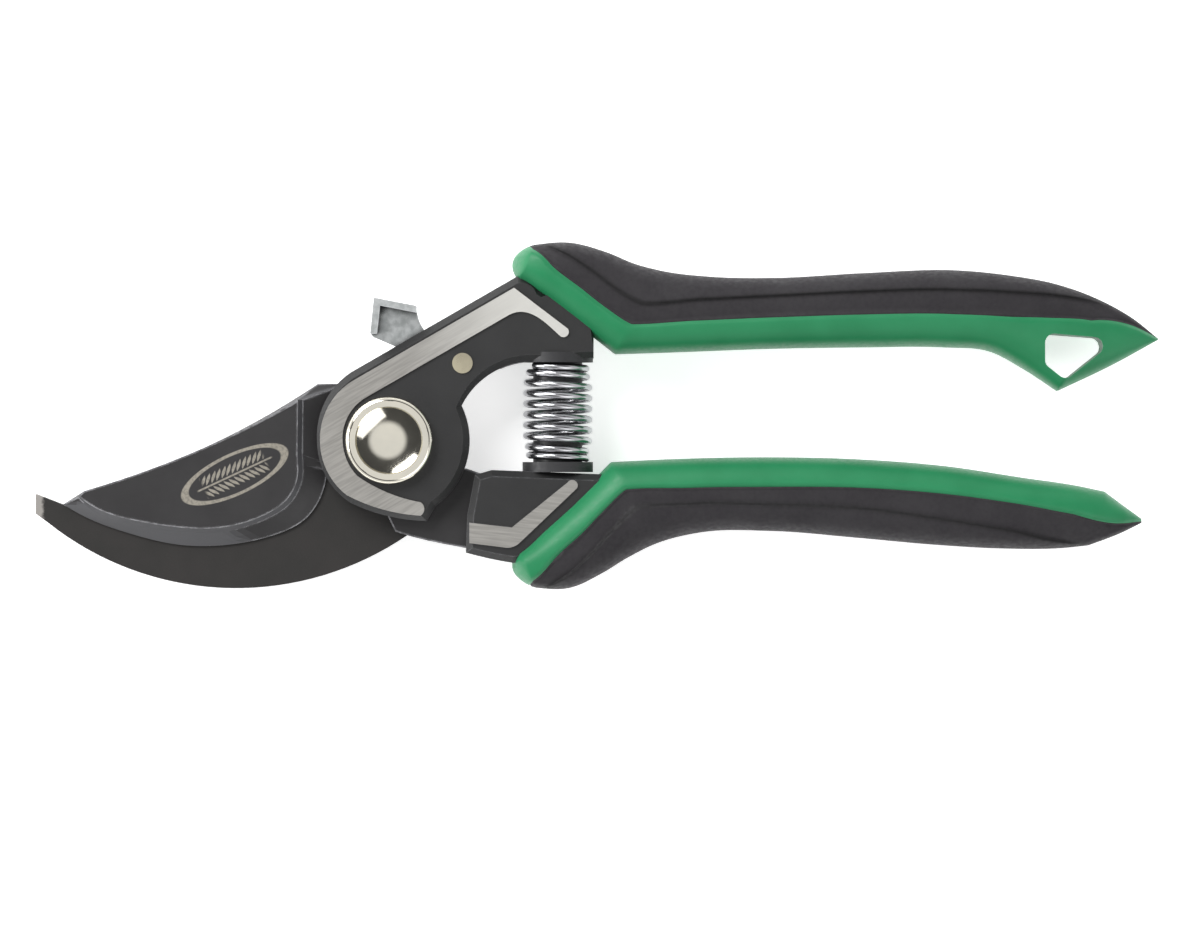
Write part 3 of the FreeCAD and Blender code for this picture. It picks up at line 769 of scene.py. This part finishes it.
@dataclass(frozen=True)
class HookFinish(Finish):
    """Coated hook whose tip is ground bare."""

    tip_x: float = 0.0
    tip_bare: tuple[float, float] = (1.5 * MM, 2.3 * MM)
    tip_ragged: float = 1.2 * MM
    tip_scale: float = 1.5
    tip_detail: float = 3.0
    bare: Colour = (0.27, 0.255, 0.24)

    def colour_of(self, nodes: Nodes) -> Socket:
        """The plain colour with the bare tip over it; noise moves the tip's edge to and fro.

        Args:
            nodes: the material being made.

        Returns:
            The colour output.
        """
        noise = nodes.noise(self.tip_scale, self.tip_detail)
        ragged = nodes.math("MULTIPLY", noise, self.tip_ragged)
        edge = nodes.math("ADD", nodes.axes(nodes.where())[0], ragged)
        tip = nodes.ramp(edge, *(self.tip_x + place for place in self.tip_bare), 1.0, 0.0)
        return nodes.mix(tip, super().colour_of(nodes), self.bare)


STEEL_WEAR: Colour = (0.30, 0.30, 0.30)

GREEN = Finish(
    "green_plastic", (0.018, 0.205, 0.082), (0.014, 0.185, 0.072), 0.42,
    grain=Grain.MOULDED, grain_depth_mm=0.012, wear_and_highlight_colour=(0.06, 0.30, 0.15), wear_and_highlight_radius_mm=0.5,
    wear_and_highlight_amount=0.3, specular=0.3,
)
RUBBER = RubberFinish(
    "black_rubber", (0.022, 0.020, 0.023), (0.028, 0.026, 0.029), 0.66,
    grain=Grain.LEATHERY, grain_depth_mm=0.03, wear_and_highlight_colour=(0.05, 0.048, 0.05), wear_and_highlight_radius_mm=0.5,
    wear_and_highlight_amount=0.3, specular=0.25,
)
SEAT_PLASTIC = Finish("black_plastic", (0.016, 0.016, 0.018), (0.022, 0.022, 0.024), 0.5)
# Painted shade darkens the spring between its turns.
SPRING_STEEL = Finish(
    "spring_steel", (0.56, 0.56, 0.58), (0.40, 0.40, 0.42), 0.22, 1.0, Grain.BRUSHED, 0.004,
    corner_shade_mm=1.2, corner_shade_amount=0.6,
)
CHROME = Finish(
    "chrome_plate", (0.86, 0.82, 0.71), (0.78, 0.75, 0.66), 0.09, 1.0, Grain.CAST, 0.003
)
ZINC = Finish(
    "zinc_plate", (0.46, 0.47, 0.49), (0.36, 0.38, 0.41), 0.34, 1.0, Grain.CAST, 0.01,
    STEEL_WEAR, 0.2, 0.4,
)
# Painted highlight on the catch's flange tops, and painted shade in its corners.
CATCH_ZINC = Finish(
    "catch_zinc", (0.60, 0.62, 0.62), (0.40, 0.42, 0.42), 0.36, 0.85, Grain.CAST, 0.05,
    (0.86, 0.88, 0.90), 0.35, 0.8, mottle_scale=0.7, corner_shade_mm=2.0, corner_shade_amount=0.95,
)
BRONZE = Finish("bronze", (0.42, 0.29, 0.13), (0.33, 0.22, 0.10), 0.35, 1.0, Grain.BRUSHED, 0.004)
BRASS = Finish("brass", (0.58, 0.53, 0.39), (0.44, 0.40, 0.30), 0.30, 1.0, Grain.CAST, 0.01)


# ---- grips --------------------------------------------------------------------------------------
class Side(Enum):
    """The two materials of a grip: the hard inner side and the soft outer side."""

    BASE = "base"
    PAD = "pad"


@dataclass(frozen=True)
class GripShape:
    """One grip as sections between an inner and an outer edge line.

    At every station the section joins a point of the inner line to one of the outer line. Across it
    a runs from 0 to 1, and the half thickness is that of a superellipse,
    half * (1 - |2a - 1|^p)^(1/p), so the sides are round and the face nearly flat. The parting,
    ridge and fullness tables have one number for each station: where the two materials meet, where
    the pad's raised back begins, and the thickness as a share of the full one.
    """

    inner: Track
    outer: Track
    parting: tuple[float, ...]
    ridge: tuple[float, ...]
    fullness: tuple[float, ...]
    power: float = 2.9
    parting_limits: tuple[float, float] = (0.02, 0.9999)
    crease_width_mm: float = 0.5
    crease_fade: float = 12.0
    nose_stations: float = 1.0
    pad_start: float = 0.72
    tail_stations: float = 0.5
    tail_thickness: float = 0.35
    ridge_step_mm: float = 0.75
    ridge_run_mm: float = 0.5
    ridge_end_mm: float = 2.0
    groove_depth_mm: float = 0.4
    groove_width_mm: float = 0.4
    detail_rise: float = 3.0

    @property
    def last(self) -> int:
        """The last station's number."""
        return len(self.parting) - 1


UPPER_GRIP = GripShape(
    inner=Track(
        [
            (22.3, 30.5), (24.3, 29.7), (28.0, 27.2), (33.6, 22.8), (38.3, 19.0), (42.0, 16.1),
            (54.1, 16.5), (70.0, 17.1), (88.0, 17.4), (103.5, 17.4), (111.8, 16.7), (118.6, 13.2),
            (124.6, 9.2), (134.5, 13.9), (143.5, 18.8),
        ],
        corners=(5, 12),
    ),
    outer=Track(
        [
            (23.4, 36.0), (27.2, 36.6), (33.2, 37.0), (40.4, 35.2), (45.8, 33.0), (50.8, 31.7),
            (60.0, 30.6), (72.0, 30.4), (88.5, 31.3), (106.0, 31.8), (116.0, 30.8), (124.5, 29.2),
            (132.5, 26.3), (138.5, 23.0), (143.6, 19.0),
        ],
    ),
    parting=(
        1.3, 0.85, 0.50, 0.40, 0.365, 0.35, 0.405, 0.43, 0.43, 0.42, 0.45, 0.60, 0.766, 0.846, 0.88,
    ),
    ridge=(
        1.0, 0.99, 0.80, 0.68, 0.62, 0.60, 0.69, 0.735, 0.74, 0.735, 0.775, 0.866, 0.96, 1.0, 1.0,
    ),
    fullness=(0.66, 0.90, 1.0, 1.0, 1.0, 1.0, 1.0, 1.0, 1.0, 1.0, 0.98, 0.88, 0.72, 0.52, 0.26),
)
LOWER_GRIP = GripShape(
    inner=Track(
        [
            (22.0, -21.6), (24.3, -20.3), (28.9, -16.1), (33.6, -11.7), (37.4, -7.9), (41.2, -4.0),
            (54.1, -3.4), (70.0, -3.1), (87.7, -3.5), (104.0, -4.8), (118.0, -6.9), (128.7, -8.5),
            (133.4, -9.5), (137.2, -12.3), (140.4, -14.6),
        ],
        corners=(5, 12),
    ),
    outer=Track(
        [
            (23.8, -26.8), (27.4, -27.5), (33.2, -27.6), (39.6, -24.8), (44.2, -22.0),
            (49.6, -19.3), (58.5, -17.1), (71.0, -16.9), (87.5, -18.2), (102.0, -19.5),
            (115.0, -20.2), (125.5, -20.1), (130.4, -19.6), (136.2, -17.4), (140.4, -15.4),
        ],
        corners=(12,),
    ),
    parting=(
        1.3, 0.80, 0.49, 0.41, 0.365, 0.335, 0.395, 0.40, 0.36, 0.35, 0.367, 0.45, 0.54, 0.61, 0.60,
    ),
    ridge=(1.0, 0.99, 0.82, 0.70, 0.62, 0.56, 0.61, 0.64, 0.62, 0.67, 0.745, 0.90, 0.97, 1.0, 1.0),
    fullness=(0.66, 0.90, 1.0, 1.0, 1.0, 1.0, 1.0, 1.0, 1.0, 1.0, 0.98, 0.90, 0.80, 0.60, 0.30),
)


@dataclass
class Grip:
    """One two-part grip, made over the CAD nodes that it stands for."""

    name: str
    body: str
    shape: GripShape
    rings: int = 260
    around: int = 96
    wall: int = 6
    end_crowding: float = 0.6
    pieces: dict[Side, bpy.types.Object] = field(default_factory=dict)

    def box(self) -> tuple[Array, Array]:
        """Lowest and highest corners of the grip's two CAD nodes together."""
        boxes = np.array([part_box(f"{self.name}_grip_{side.value}") for side in Side])
        return boxes[:, 0].min(axis=0), boxes[:, 1].max(axis=0)

    def stations(self, side: Side) -> Array:
        """Station numbers, closer together towards both rounded ends: t - k sin(2 pi t) / (2 pi).

        Args:
            side: which of the two materials; the pad starts behind the nose.

        Returns:
            One number for each ring.
        """
        first = self.shape.pad_start if side is Side.PAD else 0.0
        t = np.linspace(0, 1, self.rings)
        eased = t - self.end_crowding * np.sin(2 * np.pi * t) / (2 * np.pi)
        return first + eased * (self.shape.last - first)

    def section_angles(self, side: Side, parting: Array) -> Array:
        """Angles round the section that belong to one side of the parting line.

        Angle 0 is the inner edge, pi the outer one; the share across is (1 - sgn(c)|c|^(2/p)) / 2
        with c the cosine, and the parting angle solves that for the parting share.

        Args:
            side: which of the two materials.
            parting: the parting line's share across, for each station.

        Returns:
            Array of angles, a row for each station.
        """
        level = 1 - 2 * parting
        cosine = np.sign(level) * np.abs(level) ** (self.shape.power / 2)
        angle = np.arccos(np.clip(cosine, -1, 1))[:, None]
        sweep = np.linspace(-1, 1, self.around)[None, :]
        if side is Side.BASE:
            return angle * sweep
        return np.pi + (np.pi - angle) * sweep

    def surface(self, side: Side) -> tuple[Array, Array]:
        """The grid of points of one side, with the flat wall inside the grip that closes it.

        The height over the section's line is the superellipse's, less a Gaussian groove beside the
        parting line, less a smooth step on the inner side of the ridge. The painted crease shade is
        a Gaussian of the distance to the ridge.

        Args:
            side: which of the two materials.

        Returns:
            Points, an array of shape (stations, points round, 3) in metres, and the strength of
            the painted crease shade at each of them.
        """
        shape = self.shape
        stations = self.stations(side)
        inner, outer = shape.inner.at(stations), shape.outer.at(stations)
        width = np.linalg.norm(outer - inner, axis=1)[:, None]
        parting = np.clip(shares_at(shape.parting, stations), *shape.parting_limits)
        ridge = shares_at(shape.ridge, stations)[:, None]
        nose = round_end(stations / shape.nose_stations)
        tail = round_end((shape.last - stations) / shape.tail_stations)
        centre = (inner + outer) / 2
        inner = centre + (inner - centre) * nose[:, None]
        outer = centre + (outer - centre) * nose[:, None]
        low, high = self.box()
        tail = shape.tail_thickness + (1 - shape.tail_thickness) * tail
        fullness = shares_at(shape.fullness, stations) * nose * tail
        half = (high[2] - low[2]) / 2 / MM * fullness[:, None]

        angle = self.section_angles(side, parting)
        level = np.sign(np.cos(angle)) * np.abs(np.cos(angle)) ** (2 / shape.power)
        rise = np.sign(np.sin(angle)) * np.abs(np.sin(angle)) ** (2 / shape.power)
        share = (1 - level) / 2
        from_parting = (share - parting[:, None]) * width
        from_ridge = (share - ridge) * width
        groove = shape.groove_depth_mm * np.exp(-((from_parting / shape.groove_width_mm) ** 2))
        step = shape.ridge_step_mm * (1 - smooth_step(from_ridge / shape.ridge_run_mm + 0.5))
        step = step * smooth_step(from_parting / shape.ridge_run_mm)
        step = step * smooth_step((1 - share) * width / shape.ridge_end_mm)
        cut = (groove + step) * smooth_step(np.abs(rise) * shape.detail_rise)
        height = np.sign(rise) * np.maximum(half * np.abs(rise) - cut, 0)
        fade = smooth_step((1 - ridge) * shape.crease_fade)
        crease = fade * np.exp(-((from_ridge / shape.crease_width_mm) ** 2))

        inward = np.linspace(0, 1, self.wall + 2)[1:-1][None, :]
        wall_height = height[:, -1:] * (1 - inward) + height[:, :1] * inward
        share = np.hstack([share, np.repeat(share[:, -1:], self.wall, axis=1)])
        height = np.hstack([height, wall_height])
        crease = np.hstack([crease, np.zeros((self.rings, self.wall))])
        flat = inner[:, None, :] + (outer - inner)[:, None, :] * share[..., None]
        grid = np.dstack([flat, height]) * MM
        grid[..., 2] += (low[2] + high[2]) / 2
        return grid, crease

    def build(self) -> list[bpy.types.Object]:
        """Make both sides, each with its painted crease shade kept as an attribute of its points.

        Returns:
            The two new objects.
        """
        for side in Side:
            grid, crease = self.surface(side)
            piece = mesh_from_grid(f"{self.name}_grip_{side.value}_shell", grid)
            end_points = np.zeros(2)
            values = np.concatenate([crease.reshape(-1), end_points]).astype(np.float32)
            piece.data.attributes.new("crease", "FLOAT", "POINT").data.foreach_set("value", values)
            self.pieces[side] = piece
        return list(self.pieces.values())

    def dress(self) -> None:
        """Give both sides their finishes and let them stand for their CAD nodes."""
        finishes = {Side.BASE: GREEN, Side.PAD: RUBBER}
        for side, piece in self.pieces.items():
            piece.data.materials.append(finishes[side].make())
            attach(piece, self.body)
            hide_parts(f"{self.name}_grip_{side.value}")


@dataclass
class HangingHole:
    """Three-cornered hole cut through the tail of the upper grip."""

    corners: tuple[tuple[float, float], ...] = (
        (121.9, 20.0), (135.6, 18.9), (125.9, 11.2), (122.0, 14.2),
    )
    corner_radius: float = 1.7
    arc_points: int = 10
    past_grip: float = 2.0 * MM
    sharp_degrees: float = 35.0

    def outline(self) -> Array:
        """The hole's outline: an arc of the corner radius in each corner, joined by straight sides.

        Each arc's middle lies on its corner's bisector, at the radius over the sine of half the
        corner's angle.

        Returns:
            One row of x and y for each point, in millimetres.
        """
        corners = np.array(self.corners)
        before = unit(np.roll(corners, 1, axis=0) - corners)
        after = unit(np.roll(corners, -1, axis=0) - corners)
        half = np.arccos(np.clip((before * after).sum(axis=1), -1, 1)) / 2
        middle = corners + unit(before + after) * (self.corner_radius / np.sin(half))[:, None]
        start = corners + before * (self.corner_radius / np.tan(half))[:, None] - middle
        end = corners + after * (self.corner_radius / np.tan(half))[:, None] - middle
        sweep = np.linspace(0, 1, self.arc_points)[None, :, None]
        spread = unit(start[:, None, :] * (1 - sweep) + end[:, None, :] * sweep)
        return (middle[:, None, :] + spread * self.corner_radius).reshape(-1, 2)

    def cut(self, piece: bpy.types.Object) -> None:
        """Cut the hole out of a piece, and break the smooth shading at its sharp edges.

        Args:
            piece: a closed mesh.
        """
        low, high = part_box("upper_grip_base")
        flat = self.outline() * MM
        levels = np.array([low[2] - self.past_grip, high[2] + self.past_grip])
        heights = np.repeat(levels[:, None], len(flat), axis=1)
        tool = mesh_from_grid("hole_tool", np.dstack([np.stack([flat, flat]), heights]))
        modifier = piece.modifiers.new("hole", "BOOLEAN")
        modifier.operation = "DIFFERENCE"
        modifier.solver = "MANIFOLD"
        modifier.object = tool
        bpy.context.view_layer.update()
        graph = bpy.context.evaluated_depsgraph_get()
        result = bpy.data.meshes.new_from_object(piece.evaluated_get(graph))
        piece.modifiers.clear()
        result.materials.clear()
        piece.data = result
        bpy.data.objects.remove(tool)
        result.polygons.foreach_set("use_smooth", np.ones(len(result.polygons), bool))
        result.set_sharp_from_angle(angle=math.radians(self.sharp_degrees))


# ---- spring -------------------------------------------------------------------------------------
@dataclass
class OpeningSpring:
    """Compression spring between the levers: a round wire on a helix with closed end turns.

    The wire's centre is at radius r and angle 2*pi*n*t. Its height is a share of the length that
    rises slowly over the first and last turn, so the end turns lie against each other, and they are
    a little narrower than the open ones.
    """

    node: str = "coil_spring"
    turns: float = 9.4
    closed_turns: float = 1.1
    closed_pitch: float = 2.05
    end_inset: float = 0.55 * MM
    wire_radius: float = 0.65 * MM
    along: int = 760
    around: int = 14

    def box(self) -> tuple[Array, Array]:
        """Lowest and highest corners of the spring's CAD node."""
        return tuple(np.array(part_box(self.node)))

    def centre_line(self) -> Array:
        """Points along the middle of the wire.

        The rate of rise is closed_pitch wire radii a turn in the end turns and even between them,
        and the height is the running sum of the rate.

        Returns:
            One row for each point, in metres.
        """
        low, high = self.box()
        middle = (low + high) / 2
        t = np.linspace(0, 1, self.along)
        widest = (high[0] - low[0]) / 2 - self.wire_radius
        from_end = np.minimum(t, 1 - t) * self.turns
        radius = widest - self.end_inset * (1 - smooth_step(from_end - self.closed_turns))
        end = self.closed_turns / self.turns
        slow = self.closed_pitch * self.wire_radius * self.turns
        length = high[1] - low[1] - 2 * self.wire_radius
        open_rate = (length - 2 * end * slow) / (1 - 2 * end)
        rate = np.where((t < end) | (t > 1 - end), slow, open_rate)
        height = np.concatenate([[0], np.cumsum((rate[1:] + rate[:-1]) / 2 * np.diff(t))])
        height = height * length / height[-1]
        angle = 2 * np.pi * self.turns * t
        return np.stack(
            [
                middle[0] + radius * np.cos(angle),
                low[1] + self.wire_radius + height,
                middle[2] + radius * np.sin(angle),
            ],
            axis=-1,
        )

    def build(self) -> bpy.types.Object:
        """Carry the wire's circle along the helix, square to it, and put it in place of the
        spring's CAD node, which is hidden.

        Returns:
            The new object.
        """
        line = self.centre_line()
        tangent = unit(np.gradient(line, axis=0))
        axis = np.array([0.0, 1.0, 0.0])
        outward = unit(np.cross(tangent, axis))
        upward = np.cross(outward, tangent)
        angle = np.linspace(0, 2 * np.pi, self.around, endpoint=False)[None, :, None]
        ring = outward[:, None, :] * np.cos(angle) + upward[:, None, :] * np.sin(angle)
        grid = line[:, None, :] + ring * self.wire_radius
        piece = mesh_from_grid("opening_spring_coil", grid)
        piece.data.materials.append(SPRING_STEEL.make())
        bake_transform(piece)
        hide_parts(self.node)
        return piece


# ---- the carried-over steel pieces --------------------------------------------------------------
@dataclass
class SteelWork:
    """Finishes of the pieces whose CAD shape is shown as it is."""

    land_height: float = 0.4 * MM
    coat: Colour = (0.014, 0.014, 0.0145)
    coat_shade: Colour = (0.010, 0.010, 0.0105)

    def finishes(self) -> dict[str, Finish]:
        """Choose the finish of each CAD node.

        Returns:
            The finishes, by the nodes' names.
        """
        land_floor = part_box("upper_handle")[1][2] - self.land_height
        # Both forgings get painted shade in their corners.
        upper = ForgingFinish(
            "forging_black_upper", self.coat, self.coat_shade, 0.46, grain=Grain.POWDER,
            grain_depth_mm=0.012, wear_and_highlight_colour=(0.07, 0.07, 0.07), wear_and_highlight_amount=0.5,
            wear_and_highlight_turn=(0.01, 0.12), corner_shade_mm=0.8, land_floor=land_floor,
        )
        # The lower forging's bright edge colour paints the highlight line along its chamfers.
        lower = ForgingFinish(
            "forging_black_lower", self.coat, self.coat_shade, 0.46, grain=Grain.POWDER,
            grain_depth_mm=0.012, wear_and_highlight_colour=(0.16, 0.16, 0.17), wear_and_highlight_radius_mm=0.35,
            wear_and_highlight_amount=0.8, wear_and_highlight_turn=(0.01, 0.12), corner_shade_mm=0.8, land_floor=land_floor,
            grind_turn=-6.0, lighter_from=0.03, lighter_to=0.06,
        )
        # The bright edge colour paints highlight lines along the blade's step and cutting edge.
        blade = BladeFinish(
            "blade_coated", (0.030, 0.029, 0.030), (0.025, 0.024, 0.025), 0.42,
            grain=Grain.BRUSHED, grain_depth_mm=0.003, wear_and_highlight_colour=(0.40, 0.40, 0.42),
            wear_and_highlight_radius_mm=0.6, wear_and_highlight_amount=1.0, wear_and_highlight_turn=(0.003, 0.035), specular=0.3,
        )
        hook = HookFinish(
            "hook_coated", (0.024, 0.022, 0.021), (0.020, 0.019, 0.018), 0.50, grain=Grain.POWDER,
            grain_depth_mm=0.006, wear_and_highlight_colour=(0.08, 0.08, 0.08), wear_and_highlight_amount=0.5, specular=0.3,
            tip_x=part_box("hook")[0][0],
        )
        return {
            "upper_handle": upper, "lower_handle": lower, "blade": blade, "hook": hook,
            "hook_rivets": ZINC, "blade_screws": ZINC, "pivot_nut": ZINC, "pivot_lock_washer": ZINC,
            "pivot_bolt": CHROME, "pivot_bush": BRONZE, "thrust_washer": BRONZE,
            "catch_washer": BRONZE, "catch_pin": BRASS, "catch_plate": CATCH_ZINC,
            "upper_spring_seat": SEAT_PLASTIC, "lower_spring_seat": SEAT_PLASTIC,
        }

    def dress(self) -> dict[str, Finish]:
        """Give every shown CAD node its finish; nodes with the same finish share one material.

        Returns:
            The finishes, by the nodes' names.
        """
        finishes = self.finishes()
        made = {finish.name: finish.make() for finish in dict.fromkeys(finishes.values())}
        for node, finish in finishes.items():
            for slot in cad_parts[node].material_slots:
                slot.material = made[finish.name]
        return finishes


# ---- studio -------------------------------------------------------------------------------------
@dataclass(frozen=True)
class Lamp:
    """A square soft light: its place and side in metres, and its power in watts."""

    name: str
    place: Colour
    size: float
    power: float


@dataclass
class Studio:
    """Pale seamless floor, soft light from the upper left, and a camera square on to the shears."""

    view_centre: tuple[float, float] = (39.2 * MM, -4.94 * MM)
    view_width: float = 223.8 * MM
    camera_height: float = 1.3
    focus_height: float = 0.012
    sensor: float = 36.0
    floor_half: float = 3.0
    floor_height: float = -0.2 * MM
    floor_colour: Colour = (0.93, 0.93, 0.93)
    floor_roughness: float = 0.9
    floor_specular: float = 0.1
    floor_glow: float = 0.6
    sky_stops: tuple[tuple[float, float], ...] = (
        (0.0, 0.85), (0.60, 0.85), (0.80, 0.06), (0.92, 0.08), (0.95, 0.82), (1.0, 0.82),
    )
    lamps: tuple[Lamp, ...] = (
        Lamp("key", (-0.55, 0.75, 0.9), 0.7, 14.0),
        Lamp("fill", (0.6, -0.6, 1.0), 0.9, 4.0),
        Lamp("side", (-1.0, 0.0, 0.45), 0.5, 5.0),
    )

    def floor(self) -> None:
        """A wide plain floor just under the shears."""
        mesh = bpy.data.meshes.new("floor")
        signs = ((-1, -1), (1, -1), (1, 1), (-1, 1))
        corners = [(x * self.floor_half, y * self.floor_half, self.floor_height) for x, y in signs]
        mesh.from_pydata(corners, [], [(0, 1, 2, 3)])
        piece = bpy.data.objects.new("floor", mesh)
        bpy.context.scene.collection.objects.link(piece)
        nodes = Nodes("floor_paper")
        nodes.set("Base Color", self.floor_colour)
        nodes.set("Roughness", self.floor_roughness)
        nodes.set("Specular IOR Level", self.floor_specular)
        nodes.set("Emission Color", (1.0, 1.0, 1.0))
        nodes.set("Emission Strength", self.floor_glow)
        mesh.materials.append(nodes.material)

    def light(self, lamp: Lamp) -> None:
        """Hang a lamp so that it faces the middle of the shears.

        Args:
            lamp: the lamp's name, place, size and power.
        """
        data = bpy.data.lights.new(lamp.name, "AREA")
        data.shape = "SQUARE"
        data.size = lamp.size
        data.energy = lamp.power
        piece = bpy.data.objects.new(lamp.name, data)
        piece.location = lamp.place
        target = Vector((*self.view_centre, 0))
        piece.rotation_euler = (target - piece.location).to_track_quat("-Z", "Y").to_euler()
        bpy.context.scene.collection.objects.link(piece)

    def sky(self) -> None:
        """A white surround with a soft box straight above and a dim band round it.

        The strength follows the direction's height: horizon, dim band, and overhead patch.
        """
        world = bpy.data.worlds.new("studio")
        world.use_nodes = True
        tree = world.node_tree
        where = tree.nodes.new("ShaderNodeTexCoord")
        split = tree.nodes.new("ShaderNodeSeparateXYZ")
        tree.links.new(where.outputs["Generated"], split.inputs[0])
        ramp = tree.nodes.new("ShaderNodeValToRGB")
        tree.links.new(split.outputs["Z"], ramp.inputs["Fac"])
        stops = ramp.color_ramp.elements
        stops[0].position = self.sky_stops[0][0]
        stops[1].position = self.sky_stops[-1][0]
        for position, _ in self.sky_stops[1:-1]:
            stops.new(position)
        for stop, (_, strength) in zip(stops, self.sky_stops):
            stop.color = (strength, strength, strength, 1.0)
        tree.links.new(ramp.outputs["Color"], tree.nodes["Background"].inputs["Color"])
        bpy.context.scene.world = world

    def camera(self) -> None:
        """A long lens straight above, the handles to the right."""
        data = bpy.data.cameras.new("camera")
        data.sensor_width = self.sensor
        data.lens = self.sensor * self.camera_height / self.view_width
        data.clip_end = 20.0
        camera = bpy.data.objects.new("camera", data)
        camera.location = (*self.view_centre, self.camera_height + self.focus_height)
        bpy.context.scene.collection.objects.link(camera)
        bpy.context.scene.camera = camera

    def build(self) -> None:
        """Set up floor, light and camera."""
        self.floor()
        self.sky()
        for lamp in self.lamps:
            self.light(lamp)
        self.camera()
        bpy.context.scene.view_settings.view_transform = "Standard"


def report(piece: bpy.types.Object) -> None:
    """Log a new piece's name and how many faces it has."""
    log.info("%s: %d faces", piece.name, len(piece.data.polygons))


def main() -> None:
    """Build the shears in order."""
    logging.basicConfig(level=logging.INFO, format="%(name)s: %(message)s")
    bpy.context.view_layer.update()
    upper = Grip("upper", "upper_lever", UPPER_GRIP)
    lower = Grip("lower", "lower_lever", LOWER_GRIP)
    for grip in (upper, lower):
        for piece in grip.build():
            report(piece)
    HangingHole().cut(upper.pieces[Side.BASE])
    log.info("hanging hole cut")
    for grip in (upper, lower):
        grip.dress()
    report(OpeningSpring().build())
    for node, finish in SteelWork().dress().items():
        log.info("%s: %s", node, finish.name)
    Studio().build()


if __name__ == "__main__":
    main()
